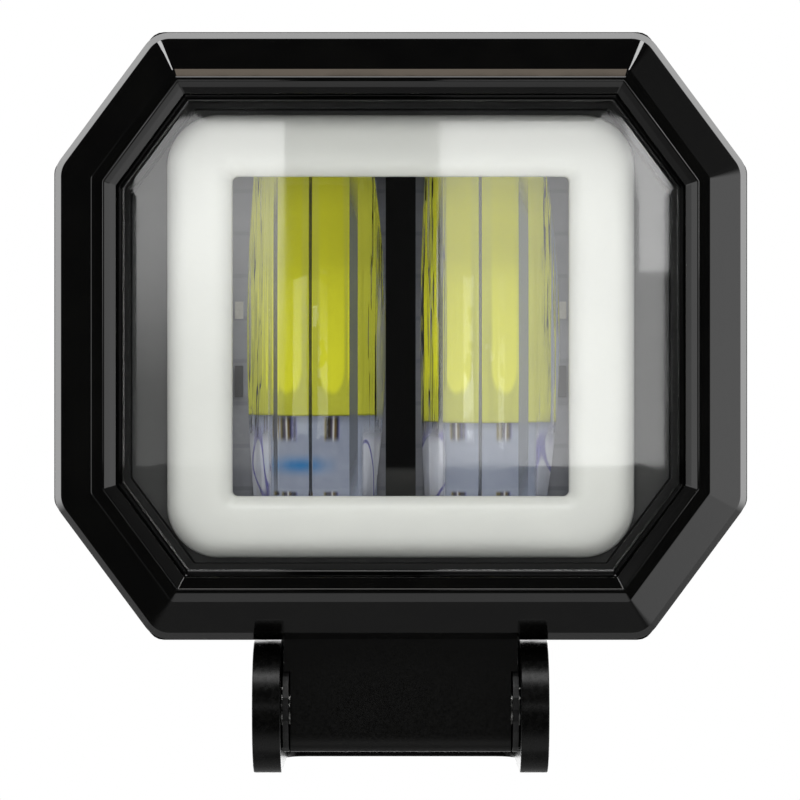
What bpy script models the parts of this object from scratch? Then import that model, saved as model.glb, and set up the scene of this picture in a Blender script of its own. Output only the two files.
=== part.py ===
"""Small octagonal LED fog light with a halo ring, two projector bars and a U-bracket.

Metres, +Z up. The lamp looks along -Y and +X is to the right of a person facing it. The origin is
the centre of the bracket's mounting hole, on the rear face of its base plate. Depths are counted
backwards (+Y) from the bezel's ridge, and the lamp's own pieces are centred on its front outline.
"""

import math

import bmesh
import bpy

# Fits
CLEARANCE = 0.0003  # between pieces that touch
RUNNING_GAP = 0.0004  # between the lug and each ear
WASHER_PLAY = 0.00025  # each side of a friction washer

# Lamp outline: a rectangle with its corners cut off
FLANGE_WIDTH = 0.0985
FLANGE_HEIGHT = 0.0864
CORNER_CUT_X = 0.0141
CORNER_CUT_Z = 0.0190
CORNER_RADIUS = 0.0022
LEAST_RADIUS = 0.0004
FLANGE_LIP = 0.0006  # flange standing out past the bezel

# Bezel
BEZEL_DEPTH = 0.0072
BEZEL_WALL = 0.0020
BEZEL_EDGE = 0.0010  # rounding of the outer edge
RIDGE_INSET = 0.0051
RIDGE_CREST = 0.0011
OPENING_INSET = 0.0094
RIM_THICKNESS = 0.0008
RIM_UNDERSIDE = 0.0045
SKIRT_WALL = 0.0010
BAND_DROP = 0.0042  # how far the outer band falls back from the ridge

# Screws that hold the bezel, from behind
SCREW_RADIUS = 0.0012
SCREW_HEAD_RADIUS = 0.0025
SCREW_HEAD_HEIGHT = 0.0018
SOCKET_RADIUS = 0.0012
SOCKET_DEPTH = 0.0010
BEZEL_SCREW_BITE = 0.0030
BOSS_RADIUS = 0.0021
BOSS_CROWN = 0.0004  # boss in front of its pilot hole

# Lens and its seal
LENS_THICKNESS = 0.0022
LENS_LAND = 0.0019  # width of the lens under the bezel's rim
SEAL_THICKNESS = 0.0014
SEAL_WIDTH = 0.0024

# Halo ring
HALO_MARGIN_X = 0.0159  # from the flange's side to the ring
HALO_MARGIN_Z = 0.0116
HALO_CORNER = 0.0074
HALO_BAR_X = 0.0093  # width of the ring's upright bars
HALO_BAR_Z = 0.00875
WINDOW_CORNER = 0.0008
HALO_DEPTH = 0.0040
HALO_WALL = 0.0016
# Pillow across the ring: share of its width, fall as a share of half its depth
HALO_CROWN = (
    (0.00, 0.55),
    (0.05, 0.30),
    (0.20, 0.08),
    (0.50, 0.00),
    (0.80, 0.08),
    (0.95, 0.30),
    (1.00, 0.55),
)
HALO_AIR_GAP = 0.0010
HALO_BOARD_THICKNESS = 0.0010
HALO_LED_SIZE = 0.0020
HALO_LED_HEIGHT = 0.0004
HALO_LED_PITCH = 0.0110

# Projector bars
BAR_SIDE_MARGIN = 0.0016  # from the bar to the side of the window
BAR_HIDDEN_END = 0.00065  # bar behind the ring at each end
BAR_GAP = 0.0049  # between the two bars
BAR_BASE = 0.0030
BAR_SIDE_DEPTH = 0.0053
BAR_BULGE = 0.0022
BAR_WAIST = 0.125  # share of the width lost at the ends
BAR_END_GAP = 0.0007
GROOVE_DEPTH = 0.0005
# Edges of the facets: share of the half width, fall behind the crown
BAR_FACETS = (
    (0.043, 0.00005),
    (0.290, 0.00015),
    (0.535, 0.00090),
    (0.680, 0.00160),
    (0.880, 0.00360),
)

# Tray, holder and boards
TRAY_THICKNESS = 0.0015
TRAY_SKIRT = 0.0012
HOLDER_STEP = 0.0008
HOLDER_RAIL_X = 0.0064
HOLDER_RAIL_Z = 0.0020
DIVIDER_PROUD = 0.0058
SIDE_VIEW = 0.0022  # board left in view beside each bar
PHOSPHOR_THICKNESS = 0.0004
PHOSPHOR_SHARE = 0.78  # of the bar's width
PHOSPHOR_CORNER = 0.0006
PHOSPHOR_TOP_MARGIN = 0.0005  # from the bar's end to the layer
PHOSPHOR_FOOT_SHARE = 0.245  # of the bar's height, below its middle
COB_THICKNESS = 0.0007
COB_SHARE = 0.90  # of the bar's width
COB_END_MARGIN = 0.0005
BOARD_MARGIN = 0.0010  # from the board's edge to the cavity wall
BOARD_THICKNESS = 0.0016
LEAD_HOLE_RADIUS = 0.0026
PAD_THICKNESS = 0.0010
PAD_PAST_SCREWS = 0.0031
PAD_OVER_GLAND = 0.0040
BOARD_SCREW_DROP = 0.0038  # from the end of the holder's opening
PARTS_ROW_RISE = 0.0045  # driver parts above the bars, and the lead below them

# Parts soldered to the board: name, finish, x, width, thickness
PARTS_ROW_HEIGHT = 0.0034
DRIVER_PARTS = (
    ("driver_chip", "dark", -0.0130, 0.0050, 0.0012),
    ("inductor", "copper", -0.0040, 0.0048, 0.0026),
    ("lead_connector", "pale", 0.0150, 0.0080, 0.0045),
)
CAPACITOR_X = 0.0045
CAPACITOR_HEIGHT = 0.0040
# Beside each bar: name, finish, z, height, thickness
SIDE_PARTS = (
    ("diode", "dark", -0.0064, 0.0046, 0.0010),
    ("resistor", "pale", 0.0040, 0.0025, 0.0006),
)

# Housing
FLANGE_THICKNESS = 0.0030
HOUSING_WALL = 0.0027
CAVITY_LEDGE = 0.0005  # cavity wall outside the bezel's opening
FLOOR_THICKNESS = 0.0030
FIN_DEPTH = 0.0123
FIN_THICKNESS = 0.0020
FIN_EDGE = 0.01025  # from the bezel's side to the last fin's middle
FIN_COUNT = 13
BODY_DRAFT = 0.0015
GLAND_POCKET = 0.0180
VENT_MARGIN = 0.01415  # from the bezel's side
VENT_Z = -0.0100
VENT_POCKET = 0.0100

# Cable gland and vent plug
CORD_RADIUS = 0.0019
GLAND_NECK = 0.0027
GLAND_COLLAR = 0.0034
GLAND_FOOT = 0.0048
GLAND_LENGTH = 0.0065
VENT_CAP_RADIUS = 0.0036
VENT_CAP_HEIGHT = 0.0018
VENT_STEM_RADIUS = 0.0016
VENT_SHOULDER = 0.6  # share of the cap's height
VENT_TOP = 0.7  # share of the cap's radius

# Bracket and pivot
PLATE = 0.0040
BRACKET_CLEAR = 0.0340
EAR_RADIUS = 0.0095
EAR_REACH = 0.0400
EAR_SETBACK = 0.0025  # ear ends behind the bezel's ridge
EAR_TO_LAMP = 0.0003
BEND_RADIUS = 0.0030
MOUNT_HOLE_RADIUS = 0.00425
LUG_DROP = 0.0064
LUG_REAR = 0.0080
LUG_CORNER = 0.0030
PIVOT_RADIUS = 0.0027
PIVOT_LENGTH = 0.0130
PIVOT_HEAD_RADIUS = 0.0056
PIVOT_HEX_RADIUS = 0.0023
PIVOT_HEX_DEPTH = 0.0020
WASHER_RADIUS = 0.0065
WASHER_THICKNESS = 0.0008

# Roundness
CORNER_STEPS = 3
HALO_STEPS = 6
CIRCLE_STEPS = 24
SMALL_CIRCLE_STEPS = 12
BAR_STATIONS = 8
SMOOTH_ANGLE = math.radians(35)

# Worked out from the above
BEZEL_WIDTH = FLANGE_WIDTH - 2 * FLANGE_LIP
BEZEL_HEIGHT = FLANGE_HEIGHT - 2 * FLANGE_LIP
HALO_WIDTH = FLANGE_WIDTH - 2 * HALO_MARGIN_X
HALO_HEIGHT = FLANGE_HEIGHT - 2 * HALO_MARGIN_Z
WINDOW_WIDTH = HALO_WIDTH - 2 * HALO_BAR_X
WINDOW_HEIGHT = HALO_HEIGHT - 2 * HALO_BAR_Z
BAR_WIDTH = (WINDOW_WIDTH - BAR_GAP) / 2 - BAR_SIDE_MARGIN
BAR_HEIGHT = WINDOW_HEIGHT + 2 * BAR_HIDDEN_END
PHOSPHOR_WIDTH = BAR_WIDTH * PHOSPHOR_SHARE
PHOSPHOR_TOP = BAR_HEIGHT / 2 - PHOSPHOR_TOP_MARGIN
PHOSPHOR_BOTTOM = -BAR_HEIGHT * PHOSPHOR_FOOT_SHARE
COB_WIDTH = BAR_WIDTH * COB_SHARE
COB_HEIGHT = BAR_HEIGHT - 2 * COB_END_MARGIN
PARTS_ROW_Z = BAR_HEIGHT / 2 + PARTS_ROW_RISE
GLAND_Z = -PARTS_ROW_Z
FIN_PITCH = (BEZEL_WIDTH - 2 * FIN_EDGE) / (FIN_COUNT - 1)
VENT_X = BEZEL_WIDTH / 2 - VENT_MARGIN
FLANGE_FRONT = BEZEL_DEPTH + CLEARANCE
FLANGE_REAR = FLANGE_FRONT + FLANGE_THICKNESS
LENS_FRONT = RIM_UNDERSIDE + CLEARANCE
LENS_REAR = LENS_FRONT + LENS_THICKNESS
SEAL_FRONT = LENS_REAR + CLEARANCE
LEDGE = SEAL_FRONT + SEAL_THICKNESS + CLEARANCE
LENS_INSET = OPENING_INSET - LENS_LAND
SKIRT_INSET = LENS_INSET - CLEARANCE
CAVITY_INSET = OPENING_INSET + CAVITY_LEDGE
BODY_INSET = CAVITY_INSET - HOUSING_WALL
TRAY_INSET = CAVITY_INSET + CLEARANCE
HALO_FRONT = LENS_REAR + HALO_AIR_GAP
HALO_REAR = HALO_FRONT + HALO_DEPTH
TRAY_FRONT = HALO_REAR + CLEARANCE
BAR_END_FRONT = HALO_REAR + BAR_END_GAP
BAR_CROWN = BAR_END_FRONT - BAR_BULGE
BAR_BASE_FRONT = BAR_END_FRONT + BAR_SIDE_DEPTH
BAR_REAR = BAR_BASE_FRONT + BAR_BASE
PHOSPHOR_FRONT = BAR_REAR + CLEARANCE
COB_FRONT = PHOSPHOR_FRONT + PHOSPHOR_THICKNESS + CLEARANCE
BOARD_FRONT = COB_FRONT + COB_THICKNESS + CLEARANCE
BOARD_REAR = BOARD_FRONT + BOARD_THICKNESS
PAD_FRONT = BOARD_REAR + CLEARANCE
FLOOR = PAD_FRONT + PAD_THICKNESS + CLEARANCE
FLOOR_REAR = FLOOR + FLOOR_THICKNESS
LAMP_REAR = FLOOR_REAR + FIN_DEPTH
HOLDER_FRONT = BAR_BASE_FRONT + HOLDER_STEP
HOLDER_REAR = BOARD_FRONT - CLEARANCE
BAR_X = (BAR_WIDTH + BAR_GAP) / 2
HOLDER_OPEN_X = BAR_X + BAR_WIDTH / 2 + SIDE_VIEW
HOLDER_OPEN_Z = BAR_HEIGHT / 2 + CLEARANCE
BOARD_SCREW_X = HOLDER_OPEN_X + HOLDER_RAIL_X / 2
BOARD_SCREW_Z = HOLDER_OPEN_Z - BOARD_SCREW_DROP
PAD_WIDTH = 2 * (BOARD_SCREW_X + PAD_PAST_SCREWS)
PAD_BOTTOM = GLAND_Z + PAD_OVER_GLAND
PAD_TOP = PARTS_ROW_Z
SCREW_HOLE = SCREW_RADIUS + CLEARANCE
BEZEL_SCREW_INSET = (BEZEL_WALL + SKIRT_INSET - SKIRT_WALL) / 2
PIVOT_Y = EAR_RADIUS - EAR_REACH
LAMP_FRONT_Y = -EAR_REACH - EAR_SETBACK
LAMP_CENTRE_Z = EAR_RADIUS + EAR_TO_LAMP + FLANGE_HEIGHT / 2
PIVOT_DEPTH = PIVOT_Y - LAMP_FRONT_Y
LUG_HALF = BRACKET_CLEAR / 2 - RUNNING_GAP
EAR_OUTER = BRACKET_CLEAR / 2 + PLATE
RECESS_FLOOR = BRACKET_CLEAR / 2 - 2 * WASHER_PLAY - WASHER_THICKNESS


# ---- outlines ----

def rounded(corners, radius, steps):
    """Replace each corner of a closed convex outline by an arc of the given radius."""
    points = []
    count = len(corners)
    for i, (x, z) in enumerate(corners):
        ax, az = corners[i - 1]
        bx, bz = corners[(i + 1) % count]
        before = math.atan2(z - az, x - ax)
        turn = (math.atan2(bz - z, bx - x) - before) % (2 * math.pi)
        tangent = radius * math.tan(turn / 2)
        start_x = x - tangent * math.cos(before)
        start_z = z - tangent * math.sin(before)
        centre_x = start_x - radius * math.sin(before)
        centre_z = start_z + radius * math.cos(before)
        for k in range(steps + 1):
            angle = before - math.pi / 2 + turn * k / steps
            points.append((centre_x + radius * math.cos(angle), centre_z + radius * math.sin(angle)))
    return points


def octagon_corners(inset):
    """The bezel's outline moved inwards by inset, all eight sides staying parallel."""
    shortening = CORNER_CUT_X + CORNER_CUT_Z - math.hypot(CORNER_CUT_X, CORNER_CUT_Z)
    half_x = BEZEL_WIDTH / 2 - inset
    half_z = BEZEL_HEIGHT / 2 - inset
    cut_x = CORNER_CUT_X - inset * shortening / CORNER_CUT_Z
    cut_z = CORNER_CUT_Z - inset * shortening / CORNER_CUT_X
    quarter = [(half_x, half_z - cut_z), (half_x - cut_x, half_z)]
    upper = quarter + [(-x, z) for x, z in reversed(quarter)]
    return upper + [(-x, -z) for x, z in upper]


def octagon(inset):
    radius = max(CORNER_RADIUS - inset / 4, LEAST_RADIUS)
    return rounded(octagon_corners(inset), radius, CORNER_STEPS)


def octagon_screw_points(inset):
    """Middle of each slanted side of the outline at this inset."""
    corners = octagon_corners(inset)
    pairs = [(corners[i], corners[i + 1]) for i in range(0, len(corners), 2)]
    return [((a[0] + b[0]) / 2, (a[1] + b[1]) / 2) for a, b in pairs]


def rectangle(half_x, half_z, radius, steps):
    corners = [(half_x, -half_z), (half_x, half_z), (-half_x, half_z), (-half_x, -half_z)]
    return rounded(corners, radius, steps)


def halo_outline(share):
    """Rounded rectangle part of the way from the halo's outer edge (0) to its window (1)."""
    half_x = (HALO_WIDTH + (WINDOW_WIDTH - HALO_WIDTH) * share) / 2
    half_z = (HALO_HEIGHT + (WINDOW_HEIGHT - HALO_HEIGHT) * share) / 2
    radius = HALO_CORNER + (WINDOW_CORNER - HALO_CORNER) * share
    return rectangle(half_x, half_z, radius, HALO_STEPS)


def circle(radius, steps):
    angles = [2 * math.pi * k / steps for k in range(steps)]
    return [(radius * math.cos(a), radius * math.sin(a)) for a in angles]


# ---- solids: each is a pair (points, faces) ----

def at_depth(outline, y):
    return [(x, y, z) for x, z in outline]


def band_faces(a, b, count):
    """Quads between two loops of count points that start at a and b."""
    return [(a + i, a + (i + 1) % count, b + (i + 1) % count, b + i) for i in range(count)]


def ring(loops):
    """A hoop: each loop is joined to the next, and the last to the first."""
    count = len(loops[0])
    points = [p for loop in loops for p in loop]
    faces = []
    for i in range(len(loops)):
        faces += band_faces(i * count, (i + 1) % len(loops) * count, count)
    return points, faces


def capped(loops):
    """A bar: each loop is joined to the next, with a face on each end."""
    count = len(loops[0])
    points = [p for loop in loops for p in loop]
    faces = []
    for i in range(len(loops) - 1):
        faces += band_faces(i * count, (i + 1) * count, count)
    last = (len(loops) - 1) * count
    faces.append(tuple(range(count)))
    faces.append(tuple(range(last, last + count)))
    return points, faces


def prism(outline, front, rear):
    return capped([at_depth(outline, front), at_depth(outline, rear)])


def box(x0, x1, y0, y1, z0, z1):
    return prism([(x0, z0), (x1, z0), (x1, z1), (x0, z1)], y0, y1)


def moved(shape, x, y, z):
    points, faces = shape
    return [(px + x, py + y, pz + z) for px, py, pz in points], faces


def along_x(shape):
    """Turn a shape made along Y so that its +Y end points to +X."""
    points, faces = shape
    return [(y, -x, z) for x, y, z in points], faces


def mirrored(shape):
    points, faces = shape
    return [(-x, y, z) for x, y, z in points], faces


def together(shapes):
    points = []
    faces = []
    for more_points, more_faces in shapes:
        offset = len(points)
        points += more_points
        faces += [tuple(i + offset for i in face) for face in more_faces]
    return points, faces


def turned(profile, steps):
    """Turn (radius, depth) points about Y; the profile starts and ends on end faces."""
    return capped([at_depth(circle(radius, steps), y) for radius, y in profile])


def turned_ring(profile, steps):
    return ring([at_depth(circle(radius, steps), y) for radius, y in profile])


def mesh_of(name, shape):
    mesh = bpy.data.meshes.new(name)
    mesh.from_pydata(shape[0], [], shape[1])
    work = bmesh.new()
    work.from_mesh(mesh)
    bmesh.ops.recalc_face_normals(work, faces=work.faces)
    work.to_mesh(mesh)
    work.free()
    mesh.shade_smooth()
    mesh.set_sharp_from_angle(angle=SMOOTH_ANGLE)
    return mesh


# ---- objects ----

def finish_material(name, colour, roughness, metallic=0.0, alpha=1.0):
    found = bpy.data.materials.new(name)
    found.use_nodes = True
    shader = found.node_tree.nodes["Principled BSDF"]
    shader.inputs["Base Color"].default_value = (*colour, 1.0)
    shader.inputs["Roughness"].default_value = roughness
    shader.inputs["Metallic"].default_value = metallic
    shader.inputs["Alpha"].default_value = alpha
    found.diffuse_color = (*colour, alpha)
    return found


def add_object(name, mesh, parent, location):
    made = bpy.data.objects.new(name, mesh)
    bpy.context.scene.collection.objects.link(made)
    made.parent = parent
    made.location = location
    return made


def lamp_piece(name, mesh, finish, depth, x=0.0, z=0.0):
    """A piece of the lamp, with its own front at this depth and its middle at x, z."""
    if not mesh.materials:
        mesh.materials.append(finish)
    location = (x, LAMP_FRONT_Y + depth - PIVOT_Y, LAMP_CENTRE_Z + z)
    return add_object(name, mesh, lamp_axis, location)


def combine(piece, name, shape, operation):
    """Cut a shape from a piece or fuse it on; the shape is in the piece's own coordinates."""
    tool = add_object(f"{piece.name}_{name}", mesh_of(name, shape), piece, (0.0, 0.0, 0.0))
    tool.hide_render = True
    tool.display_type = "WIRE"
    step = piece.modifiers.new(name, "BOOLEAN")
    step.operation = operation
    step.solver = "EXACT"
    step.object = tool


def cut(piece, name, shape):
    combine(piece, name, shape, "DIFFERENCE")


def fuse(piece, name, shape):
    combine(piece, name, shape, "UNION")


# ---- front of the lamp ----

def front_bezel(finish):
    """Moulded frame: a hollow ridge with a slanted outer band and a rim over the lens."""
    crest = RIDGE_INSET + RIDGE_CREST
    roof = BEZEL_WALL * math.sqrt(2)
    profile = [
        (0.0, BEZEL_DEPTH),
        (0.0, BAND_DROP + BEZEL_EDGE),
        (BEZEL_EDGE * 0.3, BAND_DROP + BEZEL_EDGE * 0.3),
        (BEZEL_EDGE, BAND_DROP - BEZEL_EDGE * 0.1),
        (RIDGE_INSET - BEZEL_EDGE / 4, BEZEL_EDGE / 4),
        (RIDGE_INSET + BEZEL_EDGE / 4, 0.0),
        (crest, BEZEL_EDGE / 8),
        ((crest + OPENING_INSET) / 2, (RIM_UNDERSIDE - RIM_THICKNESS) / 2),
        (OPENING_INSET - BEZEL_EDGE, RIM_UNDERSIDE - RIM_THICKNESS),
        (OPENING_INSET, RIM_UNDERSIDE - RIM_THICKNESS / 2),
        (OPENING_INSET, RIM_UNDERSIDE),
        (SKIRT_INSET, RIM_UNDERSIDE),
        (SKIRT_INSET, BEZEL_DEPTH),
        (SKIRT_INSET - SKIRT_WALL, BEZEL_DEPTH),
        (SKIRT_INSET - SKIRT_WALL, roof),
        (RIDGE_INSET, roof),
        (BEZEL_WALL, BAND_DROP + roof / 2),
        (BEZEL_WALL, BEZEL_DEPTH),
    ]
    shape = ring([at_depth(octagon(inset), depth) for inset, depth in profile])
    piece = lamp_piece("front_bezel", mesh_of("front_bezel", shape), finish, 0.0)
    places = octagon_screw_points(BEZEL_SCREW_INSET)
    pilot_front = BEZEL_DEPTH - BEZEL_SCREW_BITE - CLEARANCE
    boss = prism(circle(BOSS_RADIUS, SMALL_CIRCLE_STEPS), pilot_front - BOSS_CROWN, BEZEL_DEPTH)
    fuse(piece, "bosses", together([moved(boss, x, 0.0, z) for x, z in places]))
    pilot = prism(circle(SCREW_HOLE, SMALL_CIRCLE_STEPS), pilot_front, BEZEL_DEPTH + CLEARANCE)
    cut(piece, "pilots", together([moved(pilot, x, 0.0, z) for x, z in places]))


def outer_lens(finish):
    """Clear plate with a raised middle that stands in the bezel's opening."""
    land = octagon(LENS_INSET)
    middle = octagon(OPENING_INSET + CLEARANCE)
    step = RIM_THICKNESS / 2 + CLEARANCE
    loops = [at_depth(land, LENS_THICKNESS), at_depth(land, 0.0)]
    loops += [at_depth(middle, 0.0), at_depth(middle, -step)]
    lamp_piece("outer_lens", mesh_of("outer_lens", capped(loops)), finish, LENS_FRONT)


def lens_seal(finish):
    outer = octagon(LENS_INSET + CLEARANCE)
    inner = octagon(LENS_INSET + CLEARANCE + SEAL_WIDTH)
    loops = [at_depth(outer, 0.0), at_depth(outer, SEAL_THICKNESS)]
    loops += [at_depth(inner, SEAL_THICKNESS), at_depth(inner, 0.0)]
    lamp_piece("lens_seal", mesh_of("lens_seal", ring(loops)), finish, SEAL_FRONT)


def halo_wall_shares():
    bar = (HALO_WIDTH - WINDOW_WIDTH) / 2
    return HALO_WALL / bar, 1.0 - HALO_WALL / bar


def halo_diffuser(finish):
    """Opal channel, pillow-shaped in front and open behind."""
    near, far = halo_wall_shares()
    profile = [(0.0, HALO_DEPTH)]
    profile += [(share, fall * HALO_DEPTH / 2) for share, fall in HALO_CROWN]
    profile += [(1.0, HALO_DEPTH), (far, HALO_DEPTH)]
    profile += [(far, HALO_WALL), (near, HALO_WALL), (near, HALO_DEPTH)]
    shape = ring([at_depth(halo_outline(share), depth) for share, depth in profile])
    lamp_piece("halo_diffuser", mesh_of("halo_diffuser", shape), finish, HALO_FRONT)


def halo_led_places(run):
    """Even steps along one side of the halo."""
    count = max(2, int(run // HALO_LED_PITCH))
    return [run * ((k + 0.5) / count - 0.5) for k in range(count)]


def halo_led_board(finish):
    """Frame-shaped board in the diffuser's channel, its diodes soldered on."""
    near, far = halo_wall_shares()
    margin = CLEARANCE / ((HALO_WIDTH - WINDOW_WIDTH) / 2)
    front, rear = HALO_LED_HEIGHT, HALO_LED_HEIGHT + HALO_BOARD_THICKNESS
    outer = halo_outline(near + margin)
    inner = halo_outline(far - margin)
    loops = [at_depth(outer, front), at_depth(outer, rear), at_depth(inner, rear), at_depth(inner, front)]
    piece_depth = HALO_REAR - rear
    piece = lamp_piece("halo_led_board", mesh_of("halo_led_board", ring(loops)), finish, piece_depth)
    half = HALO_LED_SIZE / 2
    led = box(-half, half, 0.0, front + HALO_BOARD_THICKNESS / 2, -half, half)
    side_x = (HALO_WIDTH + WINDOW_WIDTH) / 4
    side_z = (HALO_HEIGHT + WINDOW_HEIGHT) / 4
    places = [(x, side * side_z) for x in halo_led_places(WINDOW_WIDTH) for side in (-1, 1)]
    places += [(side * side_x, z) for z in halo_led_places(WINDOW_HEIGHT) for side in (-1, 1)]
    fuse(piece, "diodes", together([moved(led, x, 0.0, z) for x, z in places]))


def inner_tray(finish):
    """Black pan behind the halo, with a skirt down to the board and a window for the bars."""
    rear = HOLDER_REAR - TRAY_FRONT
    shape = prism(octagon(TRAY_INSET), 0.0, rear)
    piece = lamp_piece("inner_tray", mesh_of("inner_tray", shape), finish, TRAY_FRONT)
    hollow = prism(octagon(TRAY_INSET + TRAY_SKIRT), TRAY_THICKNESS, rear + CLEARANCE)
    cut(piece, "hollow", hollow)
    half_x = HOLDER_OPEN_X - CLEARANCE
    half_z = BAR_HEIGHT / 2 + CLEARANCE
    cut(piece, "window", box(-half_x, half_x, -CLEARANCE, 2 * TRAY_THICKNESS, -half_z, half_z))


# ---- light engine ----

def bar_section(share, z):
    """Outline of a projector bar at a height given as a share of half its length, -1 to 1."""
    keep = 1.0 - BAR_WAIST * share * share
    recess = BAR_BULGE * share * share
    flank = BAR_WIDTH / 2 - CLEARANCE
    right = [(x * BAR_WIDTH / 2 * keep, drop + recess) for x, drop in BAR_FACETS]
    right.append((flank * keep, BAR_BASE_FRONT - BAR_CROWN))
    right.append((BAR_WIDTH / 2, BAR_BASE_FRONT - BAR_CROWN))
    right.append((BAR_WIDTH / 2, BAR_REAR - BAR_CROWN))
    left = [(-x, y) for x, y in reversed(right)]
    return [(x, y, z) for x, y in left + [(0.0, GROOVE_DEPTH + recess)] + right]


def lens_bars(finish):
    """Two clear barrel-shaped bars, each with a groove down the middle and slanted flanks."""
    shares = [2 * k / BAR_STATIONS - 1 for k in range(BAR_STATIONS + 1)]
    mesh = mesh_of("lens_bar", capped([bar_section(s, s * BAR_HEIGHT / 2) for s in shares]))
    for side, x in (("left", -BAR_X), ("right", BAR_X)):
        lamp_piece(f"lens_bar_{side}", mesh, finish, BAR_CROWN, x)


def board_screw_places():
    return [(x, z) for x in (-BOARD_SCREW_X, BOARD_SCREW_X) for z in (-BOARD_SCREW_Z, BOARD_SCREW_Z)]


def screw_holes(radius, front, rear):
    hole = prism(circle(radius, SMALL_CIRCLE_STEPS), front, rear)
    return together([moved(hole, x, 0.0, z) for x, z in board_screw_places()])


def lens_holder(finish):
    """Black frame that clamps both bars to the board; its rib divides the window in two."""
    depth = HOLDER_REAR - HOLDER_FRONT
    half_x = HOLDER_OPEN_X + HOLDER_RAIL_X
    half_z = HOLDER_OPEN_Z + HOLDER_RAIL_Z
    shape = box(-half_x, half_x, 0.0, depth, -half_z, half_z)
    piece = lamp_piece("lens_holder", mesh_of("lens_holder", shape), finish, HOLDER_FRONT)
    rib = BAR_GAP / 2 - CLEARANCE
    opening = box(rib, HOLDER_OPEN_X, -CLEARANCE, depth + CLEARANCE, -HOLDER_OPEN_Z, HOLDER_OPEN_Z)
    cut(piece, "openings", together([opening, mirrored(opening)]))
    reach = HOLDER_OPEN_Z - CLEARANCE
    divider = box(-rib, rib, -DIVIDER_PROUD, depth / 2, -reach, reach)
    fuse(piece, "divider", divider)
    cut(piece, "screw_holes", screw_holes(SCREW_HOLE, -CLEARANCE, depth + CLEARANCE))


def cob_strips(base_finish, phosphor_finish):
    """Light strips behind the bars: a pale carrier with a yellow phosphor layer on its upper part."""
    base_half = COB_WIDTH / 2
    base_reach = COB_HEIGHT / 2
    base_shape = box(-base_half, base_half, 0.0, COB_THICKNESS, -base_reach, base_reach)
    base = mesh_of("cob_base", base_shape)
    half = PHOSPHOR_WIDTH / 2
    outline = rectangle(half, (PHOSPHOR_TOP - PHOSPHOR_BOTTOM) / 2, PHOSPHOR_CORNER, CORNER_STEPS)
    phosphor = mesh_of("phosphor", prism(outline, 0.0, PHOSPHOR_THICKNESS))
    middle = (PHOSPHOR_TOP + PHOSPHOR_BOTTOM) / 2
    for side, x in (("left", -BAR_X), ("right", BAR_X)):
        lamp_piece(f"cob_base_{side}", base, base_finish, COB_FRONT, x)
        lamp_piece(f"phosphor_{side}", phosphor, phosphor_finish, PHOSPHOR_FRONT, x, middle)


def led_board(finish):
    """Metal-core board that carries the light strips and the driver."""
    shape = prism(octagon(CAVITY_INSET + BOARD_MARGIN), 0.0, BOARD_THICKNESS)
    piece = lamp_piece("led_board", mesh_of("led_board", shape), finish, BOARD_FRONT)
    through = (-CLEARANCE, BOARD_THICKNESS + CLEARANCE)
    lead_hole = prism(circle(LEAD_HOLE_RADIUS, SMALL_CIRCLE_STEPS), *through)
    holes = [screw_holes(SCREW_HOLE, *through), moved(lead_hole, 0.0, 0.0, GLAND_Z)]
    cut(piece, "holes", together(holes))


def board_part(name, finish, x, z, width, height, thickness):
    """A small soldered part standing on the board's front."""
    shape = box(-width / 2, width / 2, 0.0, thickness, -height / 2, height / 2)
    lamp_piece(name, mesh_of(name, shape), finish, BOARD_FRONT - CLEARANCE - thickness, x, z)


def driver_parts(finishes):
    """Driver parts along the board's top edge, and the small ones in view beside the bars."""
    for name, finish, x, width, thickness in DRIVER_PARTS:
        board_part(name, finishes[finish], x, PARTS_ROW_Z, width, PARTS_ROW_HEIGHT, thickness)
    radius = PARTS_ROW_HEIGHT / 2
    can = mesh_of("capacitor", turned([(radius, 0.0), (radius, CAPACITOR_HEIGHT)], SMALL_CIRCLE_STEPS))
    lamp_piece("capacitor", can, finishes["dark"], HOLDER_REAR - CAPACITOR_HEIGHT, CAPACITOR_X, PARTS_ROW_Z)
    width = SIDE_VIEW - 2 * CLEARANCE - RUNNING_GAP
    for side, sign in (("left", -1), ("right", 1)):
        x = sign * (BAR_X + BAR_WIDTH / 2 + SIDE_VIEW / 2)
        for name, finish, z, height, thickness in SIDE_PARTS:
            board_part(f"{name}_{side}", finishes[finish], x, z, width, height, thickness)


def thermal_pad(finish):
    """Soft grey sheet that carries the board's heat to the housing."""
    shape = box(-PAD_WIDTH / 2, PAD_WIDTH / 2, 0.0, PAD_THICKNESS, PAD_BOTTOM, PAD_TOP)
    piece = lamp_piece("thermal_pad", mesh_of("thermal_pad", shape), finish, PAD_FRONT)
    cut(piece, "screw_holes", screw_holes(SCREW_HOLE, -CLEARANCE, PAD_THICKNESS + CLEARANCE))


# ---- screws ----

def screw_mesh(name, length):
    """Pan-head screw with its head in front: a dome, a hex socket and a plain shank."""
    head = [
        (SOCKET_RADIUS, SOCKET_DEPTH),
        (SOCKET_RADIUS, 0.0),
        (SCREW_HEAD_RADIUS * 0.75, 0.0),
        (SCREW_HEAD_RADIUS, SCREW_HEAD_HEIGHT / 2),
        (SCREW_HEAD_RADIUS, SCREW_HEAD_HEIGHT),
        (SCREW_RADIUS, SCREW_HEAD_HEIGHT),
        (SCREW_RADIUS, SCREW_HEAD_HEIGHT + length),
    ]
    return mesh_of(name, turned(head, SMALL_CIRCLE_STEPS))


def board_screws(finish):
    front = HOLDER_FRONT - CLEARANCE - SCREW_HEAD_HEIGHT
    length = FLOOR + FLOOR_THICKNESS * 0.6 - front - SCREW_HEAD_HEIGHT
    mesh = screw_mesh("board_screw", length)
    for k, (x, z) in enumerate(board_screw_places()):
        lamp_piece(f"board_screw_{k + 1}", mesh, finish, front, x, z)


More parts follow.
